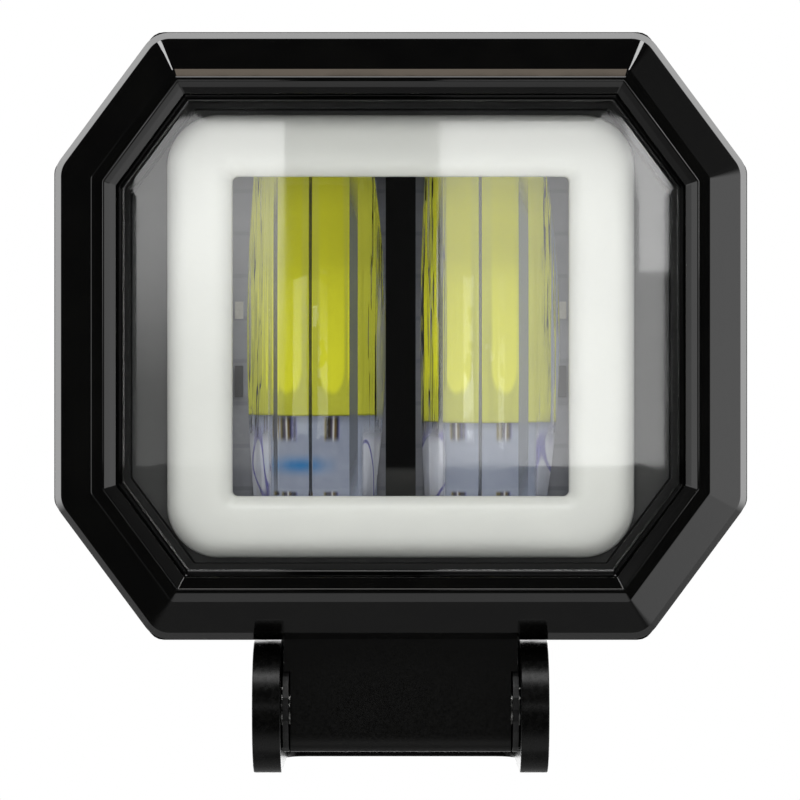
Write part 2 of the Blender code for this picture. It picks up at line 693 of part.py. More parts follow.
def bezel_screws(finish):
    """Four screws put in from behind, through the flange into the bezel's bosses."""
    length = FLANGE_THICKNESS + 2 * CLEARANCE + BEZEL_SCREW_BITE
    mesh = screw_mesh("bezel_screw", length)
    depth = FLANGE_REAR + CLEARANCE + SCREW_HEAD_HEIGHT
    for k, (x, z) in enumerate(octagon_screw_points(BEZEL_SCREW_INSET)):
        piece = lamp_piece(f"bezel_screw_{k + 1}", mesh, finish, depth, x, z)
        piece.rotation_euler = (math.pi, 0.0, 0.0)


# ---- housing ----

def fin_slots():
    """The gaps between the fins, from the housing's floor to its rear."""
    far = FLANGE_WIDTH
    rear = LAMP_REAR + CLEARANCE
    gap = FIN_PITCH - FIN_THICKNESS
    first = -FIN_PITCH * (FIN_COUNT - 1) / 2
    slots = []
    for k in range(FIN_COUNT - 1):
        x0 = first + FIN_PITCH * k + FIN_THICKNESS / 2
        slots.append(box(x0, x0 + gap, FLOOR_REAR, rear, -far, far))
    return together(slots)


def lug_outline():
    """Side view of the lug as (depth, z): square above, rounded below."""
    front = FLANGE_FRONT + CLEARANCE
    rear = PIVOT_DEPTH + LUG_REAR
    top = -BEZEL_HEIGHT / 2 + CAVITY_INSET - HOUSING_WALL / 2
    bottom = -LAMP_CENTRE_Z - LUG_DROP
    points = [(front, top)]
    for centre, start in ((front + LUG_CORNER, math.pi), (rear - LUG_CORNER, 1.5 * math.pi)):
        for k in range(CORNER_STEPS + 2):
            angle = start + math.pi / 2 * k / (CORNER_STEPS + 1)
            height = bottom + LUG_CORNER + LUG_CORNER * math.sin(angle)
            points.append((centre + LUG_CORNER * math.cos(angle), height))
    points.append((rear, top))
    return points


def pivot_places(shape):
    """A shape made for the right-hand side, on both sides of the pivot axis."""
    right = moved(shape, 0.0, PIVOT_DEPTH, -LAMP_CENTRE_Z)
    return together([right, mirrored(right)])


def rear_housing(finish):
    """Cast tub: flange, walls, floor, cooling fins and the lug that hangs in the bracket."""
    body_front = octagon(BODY_INSET)
    body_rear = octagon(BODY_INSET + BODY_DRAFT)
    flange = octagon(-FLANGE_LIP)
    loops = [at_depth(flange, FLANGE_FRONT), at_depth(flange, FLANGE_REAR)]
    loops += [at_depth(body_front, FLANGE_REAR), at_depth(body_rear, LAMP_REAR)]
    piece = lamp_piece("rear_housing", mesh_of("rear_housing", capped(loops)), finish, 0.0)
    lug = capped([[(x, y, z) for y, z in lug_outline()] for x in (-LUG_HALF, LUG_HALF)])
    fuse(piece, "lug", lug)
    ledge = octagon(LENS_INSET - CLEARANCE)
    mouth = octagon(CAVITY_INSET)
    hollow = [at_depth(ledge, FLANGE_FRONT - CLEARANCE), at_depth(ledge, LEDGE)]
    hollow += [at_depth(mouth, LEDGE), at_depth(mouth, FLOOR)]
    cut(piece, "cavity", capped(hollow))
    cut(piece, "fin_gaps", fin_slots())
    half = GLAND_POCKET / 2
    gland_pocket = box(-half, half, FLOOR_REAR, LAMP_REAR + CLEARANCE, -FLANGE_HEIGHT, GLAND_Z + half)
    cut(piece, "gland_pocket", gland_pocket)
    half = VENT_POCKET / 2
    vent_pocket = box(-half, half, FLOOR_REAR, LAMP_REAR + CLEARANCE, -half, half)
    cut(piece, "vent_pocket", moved(vent_pocket, VENT_X, 0.0, VENT_Z))
    through = (FLOOR - CLEARANCE, FLOOR_REAR + CLEARANCE)
    gland_hole = prism(circle(GLAND_NECK + CLEARANCE, SMALL_CIRCLE_STEPS), *through)
    vent_hole = prism(circle(VENT_STEM_RADIUS + CLEARANCE, SMALL_CIRCLE_STEPS), *through)
    tapped = screw_holes(SCREW_HOLE, FLOOR - CLEARANCE, FLOOR + FLOOR_THICKNESS * 0.75)
    flange_ends = (FLANGE_FRONT - CLEARANCE, FLANGE_REAR + CLEARANCE)
    flange_hole = prism(circle(SCREW_HOLE, SMALL_CIRCLE_STEPS), *flange_ends)
    holes = [moved(gland_hole, 0.0, 0.0, GLAND_Z), moved(vent_hole, VENT_X, 0.0, VENT_Z), tapped]
    holes += [moved(flange_hole, x, 0.0, z) for x, z in octagon_screw_points(BEZEL_SCREW_INSET)]
    cut(piece, "holes", together(holes))
    recess = along_x(turned([(WASHER_RADIUS + CLEARANCE, RECESS_FLOOR),
                             (WASHER_RADIUS + CLEARANCE, LUG_HALF + CLEARANCE)], CIRCLE_STEPS))
    cut(piece, "washer_recesses", pivot_places(recess))
    depth = EAR_OUTER - PIVOT_LENGTH - CLEARANCE
    bore = along_x(turned([(PIVOT_RADIUS + CLEARANCE, depth),
                           (PIVOT_RADIUS + CLEARANCE, LUG_HALF + CLEARANCE)], SMALL_CIRCLE_STEPS))
    cut(piece, "pivot_bores", pivot_places(bore))


def cable_gland(finish):
    """Rubber grommet through the floor, tapering to the lead's size."""
    start = FLOOR - CLEARANCE - PAD_THICKNESS
    foot = FLOOR_REAR + CLEARANCE - start
    floor = FLOOR - CLEARANCE - start
    end = foot + GLAND_LENGTH
    profile = [
        (CORD_RADIUS, 0.0),
        (GLAND_COLLAR, 0.0),
        (GLAND_COLLAR, floor),
        (GLAND_NECK, floor + CLEARANCE / 2),
        (GLAND_NECK, foot - CLEARANCE / 2),
        (GLAND_FOOT, foot),
        (GLAND_FOOT, foot + GLAND_LENGTH / 4),
        (GLAND_COLLAR, end),
        (CORD_RADIUS, end),
    ]
    mesh = mesh_of("cable_gland", turned_ring(profile, CIRCLE_STEPS))
    lamp_piece("cable_gland", mesh, finish, start, 0.0, GLAND_Z)


def vent_plug(finish):
    """Breather plug: a stem through the floor under a ribbed cap."""
    profile = [
        (VENT_STEM_RADIUS, 0.0),
        (VENT_STEM_RADIUS, FLOOR_THICKNESS),
        (VENT_CAP_RADIUS, FLOOR_THICKNESS),
        (VENT_CAP_RADIUS, FLOOR_THICKNESS + VENT_CAP_HEIGHT * VENT_SHOULDER),
        (VENT_CAP_RADIUS * VENT_TOP, FLOOR_THICKNESS + VENT_CAP_HEIGHT),
    ]
    mesh = mesh_of("vent_plug", turned(profile, CIRCLE_STEPS))
    lamp_piece("vent_plug", mesh, finish, FLOOR + CLEARANCE, VENT_X, VENT_Z)


# ---- bracket and pivot ----

def mounting_bracket(finish):
    """U-shape bent from one plate: a base against the vehicle and two round-ended ears."""
    inner = BRACKET_CLEAR / 2
    bend = BEND_RADIUS + PLATE
    plan = [(EAR_OUTER, -EAR_REACH)]
    for k in range(CORNER_STEPS + 2):
        angle = math.pi / 2 * k / (CORNER_STEPS + 1)
        plan.append((EAR_OUTER - bend + bend * math.cos(angle), -bend + bend * math.sin(angle)))
    plan += [(-x, y) for x, y in reversed(plan)]
    inside = [(-inner, -EAR_REACH)]
    for k in range(CORNER_STEPS + 2):
        angle = math.pi - math.pi / 2 * k / (CORNER_STEPS + 1)
        x = -inner + BEND_RADIUS + BEND_RADIUS * math.cos(angle)
        inside.append((x, -bend + BEND_RADIUS * math.sin(angle)))
    inside += [(-x, y) for x, y in reversed(inside)]
    outline = plan + inside
    shape = capped([[(x, y, z) for x, y in outline] for z in (-EAR_RADIUS, EAR_RADIUS)])
    mesh = mesh_of("mounting_bracket", shape)
    mesh.materials.append(finish)
    piece = add_object("mounting_bracket", mesh, None, (0.0, 0.0, 0.0))
    cut(piece, "ear_ends", ear_end_waste())
    shank = PIVOT_RADIUS + CLEARANCE
    head = PIVOT_HEAD_RADIUS + 1.5 * CLEARANCE
    sink = EAR_OUTER - 2 * CLEARANCE
    ear_hole = turned([(shank, inner - CLEARANCE), (shank, sink - (head - shank)), (head, sink),
                       (head, EAR_OUTER + CLEARANCE)], CIRCLE_STEPS)
    right = moved(along_x(ear_hole), 0.0, PIVOT_Y, 0.0)
    cut(piece, "ear_holes", together([right, mirrored(right)]))
    cut(piece, "mount_hole", prism(circle(MOUNT_HOLE_RADIUS, CIRCLE_STEPS), -PLATE - CLEARANCE, CLEARANCE))


def ear_end_waste():
    """What is left around the half-round ends of the ears, above and below."""
    steps = CIRCLE_STEPS // 2
    far = EAR_OUTER + CLEARANCE
    margin = PLATE
    shapes = []
    for side in (-1, 1):
        outline = [(PIVOT_Y, side * (EAR_RADIUS + margin))]
        for k in range(steps // 2 + 1):
            angle = math.pi / 2 + math.pi / 2 * k / (steps // 2)
            outline.append((PIVOT_Y + EAR_RADIUS * math.cos(angle), side * EAR_RADIUS * math.sin(angle)))
        outline += [(-EAR_REACH - margin, 0.0), (-EAR_REACH - margin, side * (EAR_RADIUS + margin))]
        shapes.append(capped([[(x, y, z) for y, z in outline] for x in (-far, far)]))
    return together(shapes)


def pivot_screws(finish):
    """Countersunk screws, heads flush with the ears, shanks in the lug."""
    rim = PIVOT_LENGTH - CLEARANCE
    cone_end = rim - CLEARANCE
    neck = cone_end - (PIVOT_HEAD_RADIUS - PIVOT_RADIUS)
    profile = [(PIVOT_RADIUS, 0.0), (PIVOT_RADIUS, neck)]
    profile += [(PIVOT_HEAD_RADIUS, cone_end), (PIVOT_HEAD_RADIUS, rim)]
    mesh = mesh_of("pivot_screw", along_x(turned(profile, CIRCLE_STEPS)))
    mesh.materials.append(finish)
    socket = prism(circle(PIVOT_HEX_RADIUS, 6), rim - PIVOT_HEX_DEPTH, PIVOT_LENGTH + CLEARANCE)
    start = EAR_OUTER - PIVOT_LENGTH
    for side, sign in (("left", -1), ("right", 1)):
        piece = add_object(f"pivot_screw_{side}", mesh, None, (sign * start, PIVOT_Y, 0.0))
        piece.rotation_euler = (0.0, 0.0, 0.0 if sign > 0 else math.pi)
        cut(piece, "socket", along_x(socket))


def friction_washers(finish):
    """Nylon washers in the lug's recesses, squeezed by the ears."""
    hole = PIVOT_RADIUS + CLEARANCE
    profile = [(hole, 0.0), (hole, WASHER_THICKNESS)]
    profile += [(WASHER_RADIUS, WASHER_THICKNESS), (WASHER_RADIUS, 0.0)]
    mesh = mesh_of("friction_washer", along_x(turned_ring(profile, CIRCLE_STEPS)))
    mesh.materials.append(finish)
    start = RECESS_FLOOR + WASHER_PLAY
    for side, sign in (("left", -1), ("right", 1)):
        piece = add_object(f"friction_washer_{side}", mesh, lamp_axis, (sign * start, 0.0, 0.0))
        piece.rotation_euler = (0.0, 0.0, 0.0 if sign > 0 else math.pi)


# ---- assembly ----

for old in list(bpy.data.objects):
    bpy.data.objects.remove(old, do_unlink=True)

lamp_axis = add_object("lamp_axis", None, None, (0.0, PIVOT_Y, 0.0))

gloss_black = finish_material("gloss_black", (0.012, 0.012, 0.013), 0.12)
cast_black = finish_material("cast_black", (0.02, 0.02, 0.022), 0.45)
plate_black = finish_material("plate_black", (0.014, 0.014, 0.016), 0.35, 0.3)
clear = finish_material("clear", (0.95, 0.97, 0.98), 0.03, 0.0, 0.2)
clear_bar = finish_material("clear_bar", (0.85, 0.87, 0.85), 0.03, 0.0, 0.35)
opal = finish_material("opal", (0.83, 0.83, 0.80), 0.35)
seal_rubber = finish_material("seal_rubber", (0.03, 0.03, 0.03), 0.8)
tray_black = finish_material("tray_black", (0.03, 0.03, 0.032), 0.4)
board_white = finish_material("board_white", (0.55, 0.57, 0.62), 0.5)
phosphor_yellow = finish_material("phosphor_yellow", (0.62, 0.60, 0.05), 0.5)
part_dark = finish_material("part_dark", (0.05, 0.05, 0.055), 0.5)
part_pale = finish_material("part_pale", (0.7, 0.7, 0.68), 0.4)
copper_wire = finish_material("copper_wire", (0.45, 0.22, 0.12), 0.4, 0.8)
pad_grey = finish_material("pad_grey", (0.35, 0.36, 0.38), 0.9)
screw_steel = finish_material("screw_steel", (0.1, 0.1, 0.105), 0.35, 0.9)
nylon = finish_material("nylon", (0.6, 0.6, 0.56), 0.6)

front_bezel(gloss_black)
outer_lens(clear)
lens_seal(seal_rubber)
halo_diffuser(opal)
halo_led_board(board_white)
inner_tray(tray_black)
lens_bars(clear_bar)
lens_holder(tray_black)
cob_strips(board_white, phosphor_yellow)
led_board(board_white)
driver_parts({"dark": part_dark, "pale": part_pale, "copper": copper_wire})
thermal_pad(pad_grey)
board_screws(screw_steel)
bezel_screws(screw_steel)
rear_housing(cast_black)
cable_gland(seal_rubber)
vent_plug(seal_rubber)
mounting_bracket(plate_black)
pivot_screws(screw_steel)
friction_washers(nylon)
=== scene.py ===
import math

import bmesh
import bpy
import numpy as np
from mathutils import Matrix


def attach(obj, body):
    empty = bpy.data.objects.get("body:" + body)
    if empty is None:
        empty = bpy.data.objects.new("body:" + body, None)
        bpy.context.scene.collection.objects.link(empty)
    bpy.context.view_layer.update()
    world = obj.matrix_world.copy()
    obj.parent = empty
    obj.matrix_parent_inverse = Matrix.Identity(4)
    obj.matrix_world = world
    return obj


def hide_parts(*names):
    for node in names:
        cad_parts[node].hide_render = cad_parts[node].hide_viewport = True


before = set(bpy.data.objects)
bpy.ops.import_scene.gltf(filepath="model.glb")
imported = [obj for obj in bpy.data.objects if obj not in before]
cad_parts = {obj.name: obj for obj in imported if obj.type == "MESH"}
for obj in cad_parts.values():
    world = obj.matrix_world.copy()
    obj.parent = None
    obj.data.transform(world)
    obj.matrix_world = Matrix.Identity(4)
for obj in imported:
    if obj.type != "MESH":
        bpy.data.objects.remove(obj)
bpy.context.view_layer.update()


# ---- Camera ----
# A long lens held level and square to the lamp's face, as high as the middle of the lamp and
# its bracket together, from a little over half a metre away.

CAMERA_PLACE = (-0.0001, -0.610, 0.0439)
CAMERA_LENS_MM = 182.0

camera_data = bpy.data.cameras.new("camera")
camera_data.lens = CAMERA_LENS_MM
camera_data.sensor_width = 36.0
camera_data.clip_start = 0.01
camera_data.clip_end = 50.0
camera = bpy.data.objects.new("camera", camera_data)
camera.location = CAMERA_PLACE
camera.rotation_euler = (math.pi / 2, 0.0, 0.0)
bpy.context.scene.collection.objects.link(camera)
bpy.context.scene.camera = camera
bpy.context.scene.view_settings.view_transform = "Standard"


# ---- Front bezel ----
# Gloss-black moulded frame. It is a hollow ridge: a slanted outer band, a narrow crest, an
# inner slope down to the rim that holds the lens. Four screws from behind hold it.

LAMP_FRONT = -0.0425
LAMP_MIDDLE = 0.0530
BEZEL_HALF = (0.0491, 0.04305)
CORNER_CUT = (0.0141, 0.0190)


def rounded(corners, radius, steps):
    """Closed loops of straight sides with an arc at each corner, as (..., corners * (steps + 1), 2).

    The turn at a corner is the angle from the side before it to the side after it. The arc touches
    both sides at radius * tan(turn / 2) from the corner, and its point k stands at the arc's start
    angle plus turn * k / steps. A corner that turns the other way gets its arc on the other side.
    """
    corners = np.asarray(corners, float)
    radius = np.broadcast_to(np.asarray(radius, float), corners.shape[:-1])
    before = corners - np.roll(corners, 1, axis=-2)
    after = np.roll(corners, -1, axis=-2) - corners
    heading = np.arctan2(before[..., 1], before[..., 0])
    turn = np.arctan2(after[..., 1], after[..., 0]) - heading
    turn = (turn + np.pi) % (2 * np.pi) - np.pi
    side = np.where(turn < 0, -1.0, 1.0)
    reach = radius * np.tan(np.abs(turn) / 2)
    along = np.stack([np.cos(heading), np.sin(heading)], axis=-1)
    inward = np.stack([-np.sin(heading), np.cos(heading)], axis=-1) * side[..., None]
    centre = corners - reach[..., None] * along + radius[..., None] * inward
    share = np.arange(steps + 1) / steps
    angle = (heading - side * np.pi / 2)[..., None] + turn[..., None] * share
    arc = np.stack([np.cos(angle), np.sin(angle)], axis=-1)
    points = centre[..., None, :] + radius[..., None, None] * arc
    return points.reshape(points.shape[:-3] + (-1, 2))


def octagon(inset, radius, steps=8):
    """The lamp's outline moved inwards by each inset, all eight sides staying parallel, corners rounded.

    Moving a side in by d shortens the cut corner's legs by d * (legs' sum - slant length) / other leg.
    """
    inset = np.asarray(inset, float)
    shortening = sum(CORNER_CUT) - math.hypot(*CORNER_CUT)
    half_x = BEZEL_HALF[0] - inset
    half_z = BEZEL_HALF[1] - inset
    in_x = half_x - CORNER_CUT[0] + inset * shortening / CORNER_CUT[1]
    in_z = half_z - CORNER_CUT[1] + inset * shortening / CORNER_CUT[0]
    across = np.stack([half_x, in_x, -in_x, -half_x, -half_x, -in_x, in_x, half_x], axis=-1)
    up = np.stack([in_z, half_z, half_z, in_z, -in_z, -half_z, -half_z, -in_z], axis=-1)
    corners = np.stack([across, up], axis=-1)
    return rounded(corners, np.asarray(radius, float)[..., None], steps)


def at_depth(outline, depth):
    """(x, z) outlines placed at a depth behind the lamp's ridge: y = LAMP_FRONT + depth."""
    depth = np.broadcast_to(np.asarray(depth, float)[..., None], outline.shape[:-1])
    return np.stack([outline[..., 0], LAMP_FRONT + depth, LAMP_MIDDLE + outline[..., 1]], axis=-1)


def sheet_faces(rows, columns, close_rows, close_columns):
    """Corner numbers of the quads of a grid: (i, j), (i, j + 1), (i + 1, j + 1), (i + 1, j)."""
    i, j = np.meshgrid(
        np.arange(rows - (not close_rows)), np.arange(columns - (not close_columns)), indexing="ij"
    )
    below, right = (i + 1) % rows, (j + 1) % columns
    here, under = i * columns, below * columns
    return np.stack([here + j, here + right, under + right, under + j], axis=-1).reshape(-1, 4)


def surface(name, grids, material, body, merge=1e-6):
    """A piece made of closed grids of points, each given as (points, close_rows, close_columns).

    Points closer than merge become one, which closes seams and poles. Each vertex normal is the sum
    of its faces' normals times their areas, so flats stay flat and only the arcs between them turn.
    """
    points, quads, start = [], [], 0
    for grid, close_rows, close_columns in grids:
        quads.append(sheet_faces(grid.shape[0], grid.shape[1], close_rows, close_columns) + start)
        points.append(grid.reshape(-1, 3))
        start += grid.shape[0] * grid.shape[1]
    mesh = bpy.data.meshes.new(name)
    mesh.from_pydata(np.concatenate(points), [], np.concatenate(quads).tolist())
    work = bmesh.new()
    work.from_mesh(mesh)
    bmesh.ops.remove_doubles(work, verts=work.verts, dist=merge)
    bmesh.ops.dissolve_degenerate(work, edges=work.edges, dist=1e-7)
    bmesh.ops.recalc_face_normals(work, faces=work.faces)
    work.to_mesh(mesh)
    work.free()
    mesh.shade_smooth()
    count = len(mesh.polygons)
    normals = np.empty(count * 3)
    areas = np.empty(count)
    totals = np.empty(count, int)
    corners = np.empty(len(mesh.loops), int)
    mesh.polygons.foreach_get("normal", normals)
    mesh.polygons.foreach_get("area", areas)
    mesh.polygons.foreach_get("loop_total", totals)
    mesh.loops.foreach_get("vertex_index", corners)
    weighted = np.repeat(normals.reshape(-1, 3) * areas[:, None], totals, axis=0)
    sums = np.zeros((len(mesh.vertices), 3))
    np.add.at(sums, corners, weighted)
    sums /= np.maximum(np.linalg.norm(sums, axis=1, keepdims=True), 1e-20)
    mesh.normals_split_custom_set_from_vertices(sums.tolist())
    mesh.materials.append(material)
    piece = bpy.data.objects.new(name, mesh)
    bpy.context.scene.collection.objects.link(piece)
    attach(piece, body)
    return piece


def add(material, kind, props=None, **inputs):
    """A shader node whose inputs are linked to other nodes' sockets or set to values."""
    made = material.node_tree.nodes.new(kind)
    for key, value in (props or {}).items():
        setattr(made, key, value)
    for key, value in inputs.items():
        socket = made.inputs[int(key[1:])] if key[0] == "_" else made.inputs[key.replace("_", " ")]
        if isinstance(value, bpy.types.NodeSocket):
            material.node_tree.links.new(value, socket)
        else:
            socket.default_value = value
    return made


def maths(material, operation, a, b=0.0, c=0.0):
    """One arithmetic step between sockets or numbers."""
    return add(material, "ShaderNodeMath", {"operation": operation}, _0=a, _1=b, _2=c).outputs[0]


def ramp(material, value, *stops):
    """A colour that runs through (position, grey or RGB) stops as value goes from 0 to 1."""
    made = add(material, "ShaderNodeValToRGB", Fac=value)
    elements = made.color_ramp.elements
    while len(elements) < len(stops):
        elements.new(0.5)
    for element, (position, tone) in zip(elements, stops):
        element.position = position
        element.color = (*tone, 1.0) if isinstance(tone, tuple) else (tone, tone, tone, 1.0)
    return made.outputs["Color"]


def between(material, value, low, high, to_low=0.0, to_high=1.0):
    """value taken from low..high to to_low..to_high along a smooth step."""
    props = {"interpolation_type": "SMOOTHSTEP", "clamp": True}
    made = add(material, "ShaderNodeMapRange", props, Value=value)
    for index, number in enumerate((low, high, to_low, to_high)):
        made.inputs[index + 1].default_value = number
    return made.outputs["Result"]


def mixed(material, amount, first, second):
    """Colour mix: first where amount is 0, second where it is 1."""
    made = add(material, "ShaderNodeMix", {"data_type": "RGBA"}, _0=amount)
    for index, value in ((6, first), (7, second)):
        if isinstance(value, bpy.types.NodeSocket):
            material.node_tree.links.new(value, made.inputs[index])
        else:
            made.inputs[index].default_value = (*value, 1.0)
    return made.outputs[2]


def finish(name, tones, roughness, grain, relief=0.0, detail=4.0, **fixed):
    """A finish whose colour, gloss and relief follow a fine grain through the piece.

    tones are the darkest and lightest colour, roughness the lowest and highest, grain the number of
    grains to the metre and relief the height of the grain in metres. fixed sets the shader's sockets.
    """
    material = bpy.data.materials.new(name)
    material.use_nodes = True
    shader = material.node_tree.nodes["Principled BSDF"]
    for key, value in fixed.items():
        shader.inputs[key.replace("_", " ")].default_value = value
    links = material.node_tree.links
    place = add(material, "ShaderNodeTexCoord").outputs["Object"]
    speck = add(material, "ShaderNodeTexNoise", Vector=place, Scale=grain, Detail=detail).outputs["Fac"]
    links.new(ramp(material, speck, (0.3, tones[0]), (0.7, tones[1])), shader.inputs["Base Color"])
    links.new(between(material, speck, 0.3, 0.7, *roughness), shader.inputs["Roughness"])
    if relief:
        bumped = add(material, "ShaderNodeBump", Height=speck, Distance=relief)
        links.new(bumped.outputs["Normal"], shader.inputs["Normal"])
    return material, shader, place, speck


gloss_black, *_ = finish(
    "gloss_black", ((0.0008, 0.0008, 0.0008), (0.0016, 0.0016, 0.0014)), (0.03, 0.055), 160.0, 0.000004, 2.0
)
# (inset from the outer edge, depth behind the crest, rounding), all in metres
BEZEL_SECTION = np.array([
    (0.0000, 0.0072, 0.0001),
    (0.0000, 0.0069, 0.0001),
    (0.0010, 0.0050, 0.0004),
    (0.0056, 0.00086, 0.0015),
    (0.0069, 0.0000, 0.0008),
    (0.0074, 0.0000, 0.0003),
    (0.0082, 0.00072, 0.0040),
    (0.0090, 0.0015, 0.0001),
    (0.0091, 0.0034, 0.0001),
    (0.0094, 0.0036, 0.0001),
    (0.0097, 0.0031, 0.0002),
    (0.0099, 0.0032, 0.0002),
    (0.0099, 0.0045, 0.0001),
    (0.0080, 0.0045, 0.0001),
    (0.0080, 0.0072, 0.0001),
    (0.0070, 0.0072, 0.0001),
    (0.0070, 0.0024, 0.0003),
    (0.0058, 0.0024, 0.0003),
    (0.0024, 0.0058, 0.0003),
    (0.0024, 0.0072, 0.0001),
])
bezel_line = rounded(BEZEL_SECTION[:, :2], BEZEL_SECTION[:, 2], 6)
# The lamp's corners are rounder at the outer edge than at the rim.
OUTER_CORNER, RIM_CORNER, CORNER_SHARPENING = 0.0042, 0.0003, 0.6
bezel_corners = np.maximum(OUTER_CORNER - bezel_line[:, 0] * CORNER_SHARPENING, RIM_CORNER)
bezel_loops = octagon(bezel_line[:, 0], bezel_corners)
bezel_rows = at_depth(bezel_loops, bezel_line[:, 1])
bezel_shell = surface("bezel_shell", [(bezel_rows, True, True)], gloss_black, "lamp")
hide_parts("front_bezel")


# ---- Outer lens ----
# Flat moulded polycarbonate plate under the bezel's rim, its middle raised into the opening.
# Each face sends back a little of the studio's light and lets the rest straight through.

lens_clear = bpy.data.materials.new("lens_clear")
lens_clear.use_nodes = True
lens_clear.node_tree.nodes.remove(lens_clear.node_tree.nodes["Principled BSDF"])
lens_place = add(lens_clear, "ShaderNodeTexCoord").outputs["Object"]
lens_haze = add(lens_clear, "ShaderNodeTexNoise", Vector=lens_place, Scale=90.0, Detail=3.0).outputs["Fac"]
lens_shine = add(
    lens_clear, "ShaderNodeBsdfGlossy", Roughness=between(lens_clear, lens_haze, 0.3, 0.7, 0.01, 0.03)
)
lens_through = add(lens_clear, "ShaderNodeBsdfTransparent", Color=(0.985, 0.99, 0.985, 1.0))
lens_front_only = maths(
    lens_clear, "SUBTRACT", 1.0, add(lens_clear, "ShaderNodeNewGeometry").outputs["Backfacing"]
)
lens_fresnel = add(lens_clear, "ShaderNodeFresnel", IOR=1.78).outputs[0]
lens_mix = add(
    lens_clear,
    "ShaderNodeMixShader",
    _0=maths(lens_clear, "MULTIPLY", lens_fresnel, lens_front_only),
    _1=lens_through.outputs[0],
    _2=lens_shine.outputs[0],
)
lens_clear.node_tree.links.new(
    lens_mix.outputs[0], lens_clear.node_tree.nodes["Material Output"].inputs["Surface"]
)
LENS_SECTION = np.array([
    (0.0300, 0.0070, 0.0001),
    (0.0081, 0.0070, 0.0001),
    (0.0081, 0.0048, 0.0001),
    (0.0101, 0.0048, 0.0001),
    (0.0101, 0.0041, 0.0002),
    (0.0300, 0.0041, 0.0001),
])
lens_line = rounded(LENS_SECTION[:, :2], LENS_SECTION[:, 2], 3)
LENS_FACE_START = 0.02  # rows further in than this are the two faces
LENS_CORNER = 0.0008


def closed(loop, rows):
    """A face that fills a loop: row k is the loop shrunk to 1 - k / (rows - 1) about its middle."""
    centre = loop.mean(axis=0)
    return centre + (loop - centre) * np.linspace(1.0, 0.0, rows)[:, None, None], False, True


lens_rim = lens_line[lens_line[:, 0] < LENS_FACE_START]
lens_rows = at_depth(octagon(lens_rim[:, 0], LENS_CORNER), lens_rim[:, 1])
lens_grids = [(lens_rows, False, True), closed(lens_rows[0], 7), closed(lens_rows[-1], 7)]
lens_plate = surface("lens_plate", lens_grids, lens_clear, "lamp")
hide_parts("outer_lens")


# ---- Lens seal ----
# Soft black rubber ring, moulded in one piece and matt. The bezel's screws squeeze it between
# the lens and the housing's flange, which keeps water out.

seal_rubber, *_ = finish(
    "seal_rubber", ((0.010, 0.010, 0.010), (0.018, 0.018, 0.018)), (0.7, 0.85), 900.0, 0.00002
)


def coat(node, material):
    """Gives a CAD piece that stays as it is its finish."""
    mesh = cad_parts[node].data
    mesh.materials.clear()
    mesh.materials.append(material)


coat("lens_seal", seal_rubber)


# ---- Halo ring ----
# Opal acrylic channel lit from behind by its own diodes. Its front is a soft pillow that
# rolls over to both edges, and it stands free in the tray behind the lens.

HALO_FRONT = 0.0080
HALO_DEPTH = 0.0040
HALO_OUTER = (0.03335, 0.0316, 0.0074)
HALO_WINDOW = (0.02405, 0.02285, 0.0008)

opal, *_ = finish(
    "opal",
    ((0.80, 0.80, 0.775), (0.83, 0.83, 0.80)),
    (0.30, 0.38),
    120.0,
    0.0,
    Subsurface_Weight=0.25,
    Subsurface_Radius=(0.002, 0.002, 0.002),
    Subsurface_Scale=1.0,
    IOR=1.49,
)
# Across the ring, with s from 0 at its outer edge to 1 at the window, the front falls back by
# half the ring's depth times (2 s - 1) to the fourth power. The walls stand on either side of the
# channel, which is cut from behind and leaves a skin.
HALO_WALL = 0.16  # share of the ring's width
HALO_SKIN = 0.0018
HALO_LAND = HALO_DEPTH * 0.7  # depth at which the walls' sides are straight
halo_share = np.linspace(0.0, 1.0, 41)
halo_fall = HALO_DEPTH * 0.50 * np.abs(2 * halo_share - 1) ** 4
halo_line = np.concatenate([
    [(0.0, HALO_DEPTH), (0.0, HALO_LAND)],
    np.stack([halo_share, halo_fall], axis=-1),
    [(1.0, HALO_LAND), (1.0, HALO_DEPTH)],
    [(1 - HALO_WALL, HALO_DEPTH), (1 - HALO_WALL, HALO_SKIN)],
    [(HALO_WALL, HALO_SKIN), (HALO_WALL, HALO_DEPTH)],
])


def rectangle(half_x, half_z, radius, steps=10):
    """Rounded rectangles about the lamp's centre, one for each entry of half_x, half_z and radius."""
    across = np.stack([half_x, half_x, -half_x, -half_x], axis=-1)
    up = np.stack([-half_z, half_z, half_z, -half_z], axis=-1)
    return rounded(np.stack([across, up], axis=-1), np.asarray(radius)[..., None], steps)


halo_sizes = np.array(HALO_OUTER) + (np.array(HALO_WINDOW) - np.array(HALO_OUTER)) * halo_line[:, :1]
halo_loops = rectangle(halo_sizes[:, 0], halo_sizes[:, 1], halo_sizes[:, 2], 14)
halo = surface(
    "halo_ring", [(at_depth(halo_loops, HALO_FRONT + halo_line[:, 1]), True, True)], opal, "lamp"
)
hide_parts("halo_diffuser")


# ---- Halo's diode board ----
# Frame-shaped white glass-fibre board that lies in the halo's channel, with a diode soldered
# on about every centimetre.

board_white, *_ = finish(
    "board_white", ((0.62, 0.63, 0.62), (0.70, 0.71, 0.70)), (0.35, 0.5), 500.0, 0.00001
)
coat("halo_led_board", board_white)


# ---- Inner tray ----
# Dark moulded pan behind the halo, with a skirt down to the board and a window for the bars.
# Its satin face shows between the halo and the bezel.

tray_black, *_ = finish(
    "tray_black", ((0.055, 0.055, 0.055), (0.067, 0.067, 0.066)), (0.34, 0.44), 400.0
)
coat("inner_tray", tray_black)
